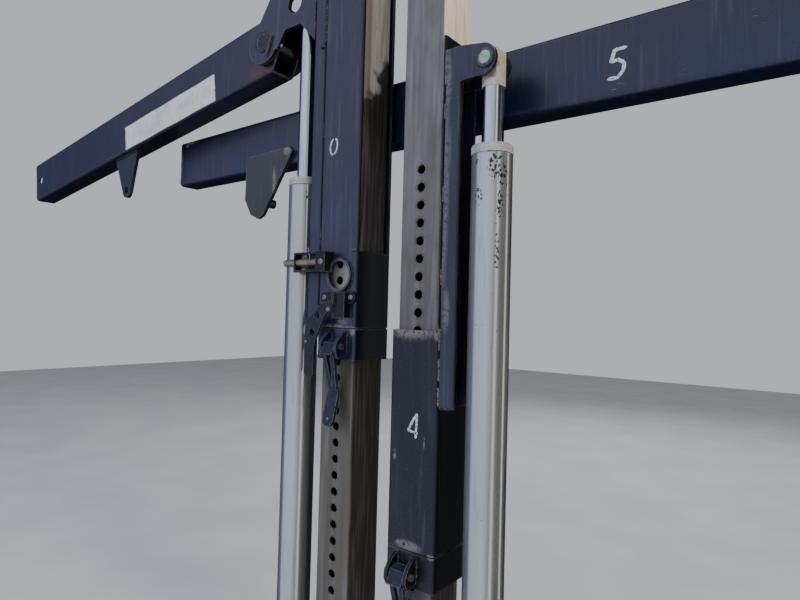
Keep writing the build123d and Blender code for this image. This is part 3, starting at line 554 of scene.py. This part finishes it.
# Where the post shows through the window: a pale patch of painted light
POST_WINDOW_LIGHT = [((WINDOW_X, -51, 1100), (50, 9, 150))]
LEFT_CHIPS = [((-240, -54, 1290), (10, 12, 14))]
RIGHT_CHIPS = [((296, -56, 1289), (24, 22, 36)), ((306, -44, 1268), (14, 14, 34)),
               ((262, -66, 1231), (15, 14, 24)), ((258, -64, 1300), (9, 9, 9)),
               ((303, -50, 1215), (9, 9, 40)), ((300, -54, 1125), (7, 8, 50))]
# A thin dark band round the foot of each gland, where it sits on the barrel
GLAND_FEET = [((x, CYLINDER_Y, GLAND_LOW + 0.5), (130, 130, 3.4)) for x in CYLINDER_X.values()]
LATCH_STAINS = [("#5a3526", [((LATCH_X["left"], LATCH_PIN_Y, LATCH_Z["left"]), (40, 12, 12))]),
                ("#97907f", [((LATCH_X["right"], LATCH_PIN_Y, LATCH_Z["right"]), (40, 12, 12))])]

# Each enamel's lower and upper colours paint its reflection, bluer low down and more violet higher up; its
# violet is a painted sheen.
navy_station = navy_enamel("navy_enamel_foot", "#0f1119", "#131826", (900, 1500), "#1c1b2b")
navy_left = navy_enamel("navy_enamel_left_carriage", "#1c1d33", "#0e2140", (1180, 1420), "#231f33",
                        LEFT_WORN, dust=0.22)
navy_right = navy_enamel("navy_enamel_right_carriage", "#0c0d18", "#090e1c", (700, 1000), "#1a1828",
                         RIGHT_WORN, dust=0.18, coat=0.15)
navy_ear = navy_enamel("navy_enamel_strongback", "#15162a", "#141b2c", (900, 1400), "#272540",
                       EAR_WORN, dust=0.3, scraped="#5d5a60")
navy_arm = navy_enamel("navy_enamel_arm", "#10152a", "#10152a", (1500, 1700), "#1d1b2b",
                       ARM_WORN, dust=0.15, rusty=ARM_RUST)
navy_beam = navy_enamel("navy_enamel_beam", "#16182e", "#0b1a3c", (1440, 1560), "#1f1c33", BEAM_WORN)
hanger_grey = navy_enamel("grey_primer_hanger", "#25272c", "#202227", (1300, 1450), "#2b2b2f",
                          HANGER_WORN, dust=0.4, rub=1.2)
black_brackets = navy_enamel("black_enamel_brackets", "#0a0b11", "#0a0b11", (900, 1000), "#11121c",
                             LEFT_WORN, dust=0.06, rub=0.7, sheen=0.5, coat=0.1)
steel = {
    "left": post_steel("greased_post_steel_left", "left", "#6a6863", "#605c54", 1570.0, -26.0, POST_WINDOW_LIGHT),
    "right": post_steel("greased_post_steel_right", "right", "#6f6e71", "#5b5b60", 1510.0, -80.0)}
barrels = {"left": barrel_enamel("silver_enamel_left_barrel", LEFT_CHIPS),
           "right": barrel_enamel("silver_enamel_right_barrel", RIGHT_CHIPS)}
rods = {side: chromed_rod(f"hard_chrome_{side}_rod", EYE_Z[side] - EYE_FOOT) for side in POST_X}
gland_zinc = handled_steel("dull_gland_zinc", "#b4b4b1", "#c0c0bd", "#97938c", "#d2d2ce", 0.5, 0.3,
                           [("#262422", GLAND_FEET)])
forged = handled_steel("forged_latch_steel", "#171b28", "#202a3e", "#2b2a2f", "#8b8f9b", 0.42, 0.1)
lever_steel = handled_steel("forged_release_steel", "#15161d", "#1f2230", "#2a2526", "#7d808c", 0.42, 0.1)
plunger_steel = handled_steel("worn_plunger_steel", "#8a8276", "#a39c90", "#6a5f52", "#c9c7c1", 0.4, 0.7)
pin_steel = handled_steel("dulled_pin_steel", "#3b3a3a", "#55534f", "#4b3b30", "#8b8983", 0.45, 0.5,
                          LATCH_STAINS)
pin_navy = handled_steel("navy_enamel_pin_head", "#171824", "#222437", "#2b2a30", "#8d93a0", 0.4, 0.0)
pin_teal = handled_steel("pale_teal_enamel_pin", "#7d9b92", "#93afa6", "#5f7a72", "#bccec8", 0.5, 0.0)
bolt_zinc = handled_steel("zinc_bolt_steel", "#77747a", "#97939a", "#5f534d", "#c9c6c6", 0.38, 0.6)
weld_navy = weld_metal("painted_weld_bead", "#1a1c27", "#6d6a6c")
weld_rubbed = weld_metal("rubbed_weld_bead", "#4b484b", "#938f8e")
plastic = sawn_plastic("black_polyethylene")

bodies = frame["record"]["behaviour"]["bodies"]
by_node = {
    "glands": gland_zinc, "barrel_pins": pin_steel, "pins_left": pin_steel, "pins_right": pin_steel,
    "spring_pin": plunger_steel, "release_lever": lever_steel, "deck_arm": navy_arm, "arm_lug": navy_arm,
    "deck_beam": navy_beam, "beam_caps": navy_beam, "beam_pad": navy_beam, "beam_hanger": hanger_grey,
    "strongback_right": navy_ear, "spring_pin_bracket": black_brackets, "release_bracket": black_brackets}
for side in POST_X:
    by_node.update({f"post_{side}": steel[side], f"barrel_{side}": barrels[side],
                    f"rod_{side}": rods[side], f"wear_pads_{side}": plastic,
                    f"latch_lever_{side}": forged})
for name, cad_piece in nodes.items():
    carried = navy_left if name in bodies["left_carriage"] else navy_right
    finish = by_node.get(name, navy_station if name in bodies["station"] else carried)
    cad_piece.data.materials.clear()
    cad_piece.data.materials.append(finish)


# Posts

LIP = 0.7


def holed_strip(x, hole_top):
    """The post's front wall between its corners, with its row of round holes.
    Round each hole one cell, a pitch tall, is a single surface through the
    wall: row k lies at radius r_k + b_k (edge - r_k) and depth y_k, column a
    at an angle; four of the angles are the cell's corners."""
    half_x, half_z = POST_HALF - POST_CORNER, HOLE_PITCH / 2
    tip = np.arctan2(half_z, half_x)
    turns = [-tip, tip, pi - tip, pi + tip, 2 * pi - tip]
    sides = [np.linspace(turns[k], turns[k + 1], 16 if k % 2 else 8, endpoint=False) for k in range(4)]
    a = np.concatenate(sides)
    ray = np.stack([np.cos(a), np.sin(a)], axis=-1)
    edge = np.minimum(half_x / np.abs(ray[:, 0]), half_z / np.maximum(np.abs(ray[:, 1]), 1e-9))
    out_y, in_y = -POST_HALF, POST_WALL - POST_HALF
    wide = HOLE_RADIUS + LIP
    rows = np.array([(wide, 1.0, in_y), (wide, 0.0, in_y), (HOLE_RADIUS, 0.0, in_y - LIP),
                     (HOLE_RADIUS, 0.0, out_y + LIP), (wide, 0.0, out_y), (wide, 0.3, out_y),
                     (wide, 1.0, out_y)])
    r = rows[:, :1] + rows[:, 1:2] * (edge[None] - rows[:, :1])
    cells = []
    for k in range(HOLE_COUNT):
        points = np.empty((len(rows), len(a), 3))
        points[..., 0] = x + r * ray[None, :, 0]
        points[..., 1] = rows[:, 2:]
        points[..., 2] = hole_top - k * HOLE_PITCH + r * ray[None, :, 1]
        cells.append(patch(points, closed=True))
    return cells


def lock_post(side):
    """A post: its rounded outer and inner profiles carried up its length but
    for the front wall, that wall's holed and plain parts, and its end rims.
    Both profiles start and end at the front wall, three corners further on."""
    x, top = POST_X[side], HOLE_TOP[side]
    half_x = POST_HALF - POST_CORNER
    low, high = top - (HOLE_COUNT - 0.5) * HOLE_PITCH, top + HOLE_PITCH / 2
    z = np.array([POST_LOW, low, high, POST_TOP])
    start = -3 * (CORNER_STEPS + 1)
    outer = np.roll(rounded_square(POST_HALF, POST_CORNER), start, axis=0)
    inner = np.roll(rounded_square(POST_HALF - POST_WALL, INNER_CORNER), start, axis=0)
    inner[0, 0], inner[-1, 0] = half_x, -half_x
    inner[[0, -1], 1] = POST_WALL - POST_HALF
    out = holed_strip(x, top)
    for ring in (outer, inner):
        points = np.empty((len(ring), len(z), 3))
        points[..., 0] = x + ring[:, None, 0]
        points[..., 1] = ring[:, None, 1]
        points[..., 2] = z
        out.append(patch(points))
        for k in (0, 2):
            out.append(patch(points[[-1, 0]][:, k:k + 2]))
    for level in (POST_LOW, POST_TOP):
        rim = np.empty((2, len(outer), 3))
        rim[..., 0] = x + np.stack([outer[:, 0], inner[:, 0]])
        rim[..., 1] = np.stack([outer[:, 1], inner[:, 1]])
        rim[..., 2] = level
        out.append(patch(rim, closed=True))
    return out


SHIM_OUTER, SHIM_INNER, SHIM_CORNER, SHIM_PLAY = 58.5, 55.5, 5.0, 0.1


def shim(side):
    """A square ring that fills the joint between a sleeve and its collar, its
    closed profile carried round a rounded square."""
    high = SLEEVE_LOW[side] - SHIM_PLAY
    low = SLEEVE_LOW[side] - COLLAR_GAP + SHIM_PLAY
    profile = [(SHIM_OUTER, low), (SHIM_OUTER, high), (SHIM_INNER, high), (SHIM_INNER, low),
               (SHIM_OUTER, low)]
    rings = []
    for half, z in profile:
        ring = rounded_square(half, SHIM_CORNER)
        rings.append(np.column_stack([ring[:, 0] + POST_X[side], ring[:, 1], np.full(len(ring), z)]))
    return patch(np.stack(rings), closed=True)


for side in POST_X:
    make(f"lock_post_{side}", lock_post(side), steel[side], "station", [f"post_{side}"])
for side in POST_X:
    make(f"joint_shim_{side}", [shim(side)], plastic, f"{side}_carriage")


# Cylinders: gland nuts with a groove and a wiper lip, and the pins' heads. A
# turned profile is a list of (radius, height).

BORE = ROD_RADIUS + 0.2
GLAND = [(BORE, 0.0), (GLAND_RADIUS - 1.4, 0.0), (GLAND_RADIUS - 1.6, 1.2), (GLAND_RADIUS, 2.0),
         (GLAND_RADIUS, 8.6), (GLAND_RADIUS - 0.7, 9.2), (GLAND_RADIUS - 0.7, 9.8), (GLAND_RADIUS, 10.4),
         (GLAND_RADIUS, 17.2), (GLAND_RADIUS - 0.9, 19.3), (GLAND_RADIUS - 3.0, 20.6),
         (GLAND_RADIUS - 5.0, GLAND_HEIGHT), (28.0, GLAND_HEIGHT), (27.4, 20.2), (26.0, 20.2),
         (25.4, GLAND_HEIGHT), (BORE + 0.5, GLAND_HEIGHT), (BORE, 20.0), (BORE, 0.0)]
glands = [turned(GLAND, (x, CYLINDER_Y, GLAND_LOW), (0, 0, 1), 96) for x in CYLINDER_X.values()]
make("gland_nuts", glands, gland_zinc, "station", ["glands"])

outwards = (0, -1, 0)
HEAD_RIM = [(0.0, -4.2), (19.3, -4.2), (19.3, -0.5), (18.5, 0.4), (17.0, 0.7), (16.4, 0.1), (15.4, 0.1),
            (14.6, 0.9), (13.6, 0.9), (13.3, 0.2), (0.0, 0.2)]
HEAD_DOME = [(0.0, -1.0), (13.1, -1.0), (13.1, 0.6), (12.4, 1.5), (9.0, 2.1), (4.0, 2.4), (0.0, 2.5)]
PIVOT_HEAD_SHARE = 1.46
PIVOT_RIM = [(PIVOT_HEAD_SHARE * radius, height) for radius, height in HEAD_RIM]
left_eye, right_eye = [(CYLINDER_X[side], PIN_HEAD_Y, EYE_Z[side]) for side in POST_X]
make("rod_pin_rim_right", [turned(HEAD_RIM, right_eye, outwards)], pin_navy, "right_carriage")
make("rod_pin_head_right", [turned(HEAD_DOME, right_eye, outwards)], pin_teal, "right_carriage")
left_heads = [turned(HEAD_RIM, left_eye, outwards),
              turned(PIVOT_RIM, (PIVOT_X, PIN_HEAD_Y, PIVOT_Z), outwards)]
make("pin_heads_left", left_heads, pin_navy, "left_carriage")
foot_heads = [turned(HEAD_RIM, (x, FOOT_HEAD_Y, FOOT_PIN_Z), outwards) for x in CYLINDER_X.values()]
make("barrel_pin_heads", foot_heads, pin_steel, "station")


# Spring pin: a turned plunger with a groove, whose heights are along X, and
# the wire clip in the groove

GROOVE_RADIUS = 7.6
PLUNGER = [(0.0, -273.0), (6.6, -273.0), (8.4, -271.6), (SPRING_PIN_RADIUS, -269.0),
           (SPRING_PIN_RADIUS, -232.0), (SPRING_PIN_RADIUS, -186.2), (GROOVE_RADIUS, -185.6),
           (GROOVE_RADIUS, -181.0), (SPRING_PIN_RADIUS, -180.4), (SPRING_PIN_RADIUS, -156.0), (0.0, -156.0)]
plunger = turned(PLUNGER, (0, SPRING_PIN_Y, SPRING_PIN_Z), (1, 0, 0))
make("plunger", [plunger], plunger_steel, "left_carriage", ["spring_pin"])
CLIP_RADIUS, CLIP_POINTS = 1.3, 60
CLIP = np.array([
    (-183, -73.5, 1119), (-183, -75, 1126), (-182, -84, 1127), (-178, -90.5, 1122), (-175.5, -92, 1126),
    (-178, -92, 1134), (-182, -91.5, 1141), (-186, -90, 1143.5), (-188.5, -88.5, 1141),
    (-187.5, -87, 1138.5), (-184.5, -87, 1141), (-184.5, -88, 1147), (-187, -89, 1152)])
clip_at = np.linspace(0, len(CLIP) - 1, CLIP_POINTS)
clip_path = np.stack([np.interp(clip_at, range(len(CLIP)), column) for column in CLIP.T], axis=-1)
make("wire_clip", [rod_along(clip_path, CLIP_RADIUS)], bolt_zinc, "left_carriage")


# Screws and rivets: (centre, axis, radius, height, its socket's share)

BLADE_LEAN = radians(14)
blade_out = (0.0, -cos(BLADE_LEAN), sin(BLADE_LEAN))
LEFT_SCREWS = [((-138, -93, SPRING_PIN_Z), outwards, 7.2, 4.2),
               ((BRACKET_X - BRACKET_BOLTS, -69, BRACKET_Z), outwards, 6.6, 4.5),
               ((BRACKET_X + BRACKET_BOLTS, -69, BRACKET_Z), outwards, 6.6, 4.5),
               ((-338.6, FRONT_Y, 1690.5), outwards, 5.0, 3.0),
               ((-112, -90, 1006), outwards, 6.5, 4.0),
               ((-184, -90, 928), outwards, 3.4, 2.0, 0),
               ((LATCH_X["left"], -88.8, 755), blade_out, 4.0, 2.0, 0)]
RIGHT_SCREWS = [((LATCH_X["right"], -88.8, 299), blade_out, 4.0, 2.0, 0),
                ((-978, BEAM_FRONT_Y, 1561), outwards, 6, 4, 0)]
for side, screws in (("left", LEFT_SCREWS), ("right", RIGHT_SCREWS)):
    make(f"screws_{side}", [button(*screw) for screw in screws], bolt_zinc, f"{side}_carriage")


# Weld beads: (start, end, size, seed)

FILLET = 2.6


def beads(table):
    """One straight bead for each row of a table."""
    return [weld([start, end], size, seed) for start, end, size, seed in table]


def upright_beads(x, z_low, z_high, y, seed):
    """Upright beads on a face at y, one at each place in x."""
    return beads([((px, y, z_low), (px, y, z_high), FILLET, seed + k) for k, px in enumerate(x)])


def cheek_welds(side):
    """Beads along both faces of each latch cheek where it stands on the collar."""
    feet = [LATCH_X[side] + face for face in CHEEK_FACES]
    return upright_beads(feet, LATCH_Z[side] - 18, LATCH_Z[side] + 34, FRONT_Y - 0.6, 40)


def strap_welds(side):
    """Beads beside the strap that ties the collar to the sleeve's back, first
    on the collar and then on the sleeve."""
    low, back = SLEEVE_LOW[side], SLEEVE_HALF + 0.5
    edges = [POST_X[side] + edge for edge in STRAP_EDGES]
    on_collar = upright_beads(edges, low - 62, low - 8, back, 50)
    return on_collar + upright_beads(edges, low + 4, low + 54, back, 54)


def loop(ring, x, z):
    """The closed path round a ring of (x, y), moved by x and lifted to z."""
    ring = np.concatenate([ring, ring[:1]])
    return np.column_stack([ring[:, 0] + x, ring[:, 1], np.full(len(ring), z)])


# Left carriage: the ring round the window, short beads and one long one where
# the strongback meets the sleeve, the gussets' roots and the channel's foot
t = np.linspace(radians(-20), radians(200), 60)
reach = RING_RADIUS + 1
ring_weld = np.stack([WINDOW_X + reach * np.cos(t), np.full(len(t), FRONT_Y - 0.8),
                      WINDOW_Z + reach * np.sin(t)], axis=-1)
seam, root = SLEEVE_SIDE["left"], SLEEVE_SIDE["left"] - STRONGBACK_REACH
left_welds = cheek_welds("left") + strap_welds("left") + [weld(ring_weld, 2.2, 3)] + beads([
    ((seam, -58.5, 1160), (seam, -58.5, 1202), 2.6, 1220),
    ((seam, -58.5, 1420), (seam, -58.5, 1462), 2.6, 1480),
    ((seam, -59.0, 1652), (seam, -59.0, 1997), 4.6, 61),
    ((root, -60.8, 1676), (root, -60.8, 1986), 1.6, 5),
    ((-150, -61.5, 1141.5), (-128, -61.5, 1141.5), 2.2, 6),
    ((-189, FRONT_Y, 1643), (-179, FRONT_Y, 1649), 5.4, 7),
    ((seam - 0.5, 44, 1676), (seam - 0.5, 44, 1986), 3.2, 8)])
make("weld_beads_left", left_welds, weld_navy, "left_carriage")

# Right carriage: the strongback's back edge and foot, the beam's pad and the
# hanger plate; then the rubbed beads at the strongback's front edge
seam = SLEEVE_SIDE["right"]
right_welds = cheek_welds("right") + strap_welds("right") + beads([
    ((seam, 7.5, 815), (seam, 7.5, 1540), 3.0, 9),
    ((180, -59, 810), (208, -59, 810), 3.0, 10)])
right_welds += upright_beads([33.5, 196.5], 1440, 1562, BEAM_FRONT_Y - 1, 11)
right_welds += upright_beads([54.5, 175.5], 1440, 1562, SLEEVE_HALF, 13)
right_welds += beads([
    ((-631, 72.5, 1468), (-440, 72.5, 1472.5), 2.8, 15),
    ((-635.5, 72.5, 1345), (-632.5, 72.5, 1462), 2.8, 16)])
make("weld_beads_right", right_welds, weld_navy, "right_carriage")
# A seam bead's low end, run, Y, size and seed, to which the low end is added
SEAM_BEADS = [(812, 40, -58.4, 3.2, 70), (864, 46, -58.4, 3.2, 70), (926, 42, -58.4, 3.2, 70),
              (1060, 34, -58.0, 2.6, 80), (1230, 34, -58.0, 2.6, 80), (1400, 34, -58.0, 2.6, 80)]
seam_welds = beads([((seam + 1, y, low), (seam + 1, y, low + run), size, seed + low)
                    for low, run, y, size, seed in SEAM_BEADS])
seam_welds += beads([((174, FRONT_Y, 962), (182, FRONT_Y, 970), 3.8, 17)])
make("seam_welds_right", seam_welds, weld_rubbed, "right_carriage")

# Arm: the lug's two faces, and the torn edge where the inner corner is cut
arm_welds = beads([(on_arm(734, -80.8, y), on_arm(878, -80.8, y), 2.8, 18 + k)
                   for k, y in enumerate((-12.6, -27.4))])
make("weld_beads_arm", arm_welds, weld_navy, "arm")
torn = beads([(on_arm(-6.8, -76.8, -36), on_arm(-6.8, -76.8, 24), 2.7, 31),
              (on_arm(-8.4, -74.5, -40.6), on_arm(-27, -46.7, -40.6), 2.2, 32)])
make("torn_arm_edge", torn, weld_rubbed, "arm")

# Foot: round each post, beside its ribs, round its cap and beside the lugs
ON_PLATE, CAP_EDGE = POST_LOW + 1.0, POST_TOP + 1.0
foot = rounded_square(POST_HALF + 1, POST_CORNER + 1)
CAP_HALF, CAP_CORNER = 48.5, 6.5
cap = np.roll(rounded_square(CAP_HALF, CAP_CORNER, steps=1), -4, axis=0)
foot_welds = []
for side, x in POST_X.items():
    foot_welds.append(weld(loop(foot, x, ON_PLATE), 3.6, 20))
    foot_welds += beads([((x + face, way * RIB_END, ON_PLATE), (x + face, way * RIB_START, ON_PLATE), 2.4, 22)
                         for face in RIB_FACES for way in (-1, 1)])
    foot_welds.append(weld(loop(cap, x, CAP_EDGE), 2.2, 24))
    lug = CYLINDER_X[side]
    foot_welds += beads([((lug - LUG_HALF, y, ON_PLATE), (lug + LUG_HALF, y, ON_PLATE), 2.4, 26)
                         for y in LUG_FACES])
make("weld_beads_foot", foot_welds, weld_navy, "station")


# Paint and vinyl

STRIP_ALONG, STRIP_UP = (246, 776), (-74, 8)


def vinyl_strip():
    """The strip on the arm's front: a grid along and up the arm whose edges
    waver by under a millimetre, raised and swelling at a few bubbles; its
    border lies down on the enamel."""
    share_s, share_t = np.meshgrid(np.linspace(0, 1, 180), np.linspace(0, 1, 34), indexing="ij")
    along = STRIP_ALONG[0] + share_s * (STRIP_ALONG[1] - STRIP_ALONG[0])
    up = STRIP_UP[0] + share_t * (STRIP_UP[1] - STRIP_UP[0])
    along = along + 0.8 * np.sin(up / 7) * (2 * share_s - 1)
    up = up + 0.6 * np.sin(along / 31) * (2 * share_t - 1)
    lift = FILM_LIFT + 0.18 * np.sin(along / 23) * np.sin(up / 11 + along / 70)
    lift[[0, -1]] = 0.0
    lift[:, [0, -1]] = 0.0
    return patch(np.stack(on_arm(along, up, ARM_FRONT_Y - lift), axis=-1))


make("blank_vinyl_strip", [vinyl_strip()], worn_vinyl("worn_sign_vinyl"), "arm")

# Each position number: a few strokes of (x, z) in a box one wide and two
# tall, which leans to the right by the slant
SLANT = 0.1
FIGURES = {
    "zero": [[(0.35, 1.85), (0.1, 1.5), (0.02, 0.9), (0.2, 0.3), (0.5, 0.08)],
             [(0.62, 0.1), (0.9, 0.5), (0.98, 1.1), (0.85, 1.6), (0.6, 1.85)]],
    "four": [[(0.68, 1.95), (0.3, 1.2), (0.02, 0.58), (0.98, 0.42)],
             [(0.72, 1.95), (0.76, 1.0), (0.8, 0.02)]],
    "five": [[(0.9, 1.95), (0.25, 1.92), (0.14, 1.2), (0.5, 1.26), (0.85, 1.0), (0.88, 0.5), (0.6, 0.1),
              (0.05, 0.12)]]}
# Its body, its box's lower left corner (x, z) on the face at y, the box's
# width and half height, and the brush's width
FIGURE_PLACES = {"zero": ("left_carriage", (-152, 1372), FRONT_Y, 24, 22, 4.4),
                 "four": ("right_carriage", (102, 740), FRONT_Y, 27, 27, 5.5),
                 "five": ("right_carriage", (460, 1459), BEAM_FRONT_Y, 36, 30, 7.0)}
painted = marker_paint("white_brush_paint")
for figure, (body, (x, z), y, wide, tall, brush) in FIGURE_PLACES.items():
    strokes = [brushed([(x + wide * (px + SLANT * pz), z + tall * pz) for px, pz in line], brush, y, k)
               for k, line in enumerate(FIGURES[figure])]
    make(f"painted_{figure}_{body}", strokes, painted, body)


# Camera, floor and light

CAMERA_PLACE = (0.8317, -1.0390, 1.0000)
FOCAL_PIXELS, IMAGE_WIDTH, SENSOR_WIDTH = 576.926, 800, 36.0
FLOOR_HALF = 9
yaw, pitch, roll = radians(37.771), radians(1.349), radians(-1.483)
ahead = np.array([-sin(yaw) * cos(pitch), cos(yaw) * cos(pitch), sin(pitch)])
right = np.array([cos(yaw), sin(yaw), 0.0])
up = np.cross(right, ahead)
camera_right = right * cos(roll) - up * sin(roll)
camera_up = right * sin(roll) + up * cos(roll)


def placed(thing, place, axes):
    """Links an object at a place in metres, turned so that its own X, Y and Z
    point along three given axes."""
    turn = Matrix([list(row) for row in np.stack(axes, axis=-1)]).to_4x4()
    thing.matrix_world = Matrix.Translation(place) @ turn
    bpy.context.scene.collection.objects.link(thing)


camera = bpy.data.objects.new("camera", bpy.data.cameras.new("camera"))
camera.data.sensor_width = SENSOR_WIDTH
camera.data.lens = FOCAL_PIXELS / IMAGE_WIDTH * SENSOR_WIDTH
camera.data.clip_start = 0.05
placed(camera, CAMERA_PLACE, (camera_right, camera_up, -ahead))
bpy.context.scene.camera = camera

floor_side = np.linspace(-FLOOR_HALF, FLOOR_HALF, 3)
floor_x, floor_y = np.meshgrid(floor_side, floor_side, indexing="ij")
points, quads = patch(np.stack([floor_x, floor_y, np.zeros((3, 3))], axis=-1))
floor_mesh = bpy.data.meshes.new("studio_floor")
floor_mesh.from_pydata(points.tolist(), [], quads.tolist())
floor_mesh.materials.append(floor_paint("pale_floor"))
floor = bpy.data.objects.new("studio_floor", floor_mesh)
floor.visible_glossy = False
bpy.context.scene.collection.objects.link(floor)


def softbox(name, place, target, size, power, colour):
    """A square area light at a place in metres that looks at a target. It lights
    but isn't mirrored: what the gloss shows comes from the room."""
    data = bpy.data.lights.new(name, "AREA")
    data.size, data.energy, data.color = size, power, linear(colour)[:3]
    back = np.array(place, float) - np.array(target, float)
    back /= np.linalg.norm(back)
    aside = np.cross((0, 0, 1), back)
    aside /= np.linalg.norm(aside)
    lamp = bpy.data.objects.new(name, data)
    lamp.visible_glossy = False
    placed(lamp, place, (aside, np.cross(back, aside), back))


softbox("high_right", (4.4, -0.6, 3.8), (0, 0, 1.3), 1.2, 180, "#fff2e0")
softbox("high_left", (-2.6, -3.8, 3.4), (-0.2, 0, 1.2), 2.6, 120, "#e3ecff")
softbox("high_back", (-1.0, 4.2, 3.6), (0, 0, 1.2), 2.6, 110, "#f2f5ff")

# The room that the gloss and the chrome mirror: pale and cool in front and to
# the front left, dim at the right and behind, with two bright strips towards
# the right. Matt surfaces get the same light but greyer, and the camera sees
# plain pale grey. Each colour stands at its share of a turn, from -X round by
# -Y, +X and +Y.
ROOM = [(0.00, "#283150"), (0.07, "#44527a"), (0.105, "#cdd0f4"), (0.20, "#d0daf8"), (0.30, "#d8e4f4"),
        (0.36, "#b9bfc8"), (0.405, "#7b7d82"), (0.417, "#e8ebf0"), (0.447, "#e8ebf0"), (0.463, "#6d6e71"),
        (0.51, "#33353a"), (0.585, "#2a2c30"), (0.592, "#ffffff"), (0.615, "#ffffff"), (0.623, "#15161a"),
        (0.66, "#0c0d10"), (0.84, "#0f1012"), (0.93, "#1b1e26"), (1.00, "#283150")]
BACKDROP, ROOM_STRENGTH, MATT_SATURATION = "#bcc1c6", 1.05, 0.25
world = bpy.data.worlds.new("soft_studio")
world.use_nodes = True
tree = world.node_tree
tree.nodes.clear()
towards = node(tree, "TexCoord", out="Generated")
along_y = node(tree, "SeparateXYZ", {0: towards}, 1)
along_x = node(tree, "SeparateXYZ", {0: towards}, 0)
azimuth = node(tree, "Math", {0: along_y, 1: along_x}, operation="ARCTAN2")
turn = node(tree, "MapRange", {0: azimuth, 1: -pi, 2: pi, 3: 0.0, 4: 1.0})
room = node(tree, "ValToRGB", {0: turn})
stops = room.node.color_ramp.elements
while len(stops) < len(ROOM):
    stops.new(0.5)
for stop, (position, tint) in zip(stops, ROOM):
    stop.position, stop.color = position, linear(tint)
seen = node(tree, "LightPath", out="Is Camera Ray")
mirrored = node(tree, "LightPath", out="Is Glossy Ray")
vivid = node(tree, "MapRange", {0: mirrored, 1: 0.0, 2: 1.0, 3: MATT_SATURATION, 4: 1.0})
room = node(tree, "HueSaturation", {"Color": room, "Saturation": vivid})
shown = node(tree, "Mix", {0: seen, 6: room, 7: linear(BACKDROP)}, 2, data_type="RGBA")
background = node(tree, "Background", {"Color": shown, "Strength": ROOM_STRENGTH})
node(tree, "OutputWorld", {"Surface": background})
bpy.context.scene.world = world
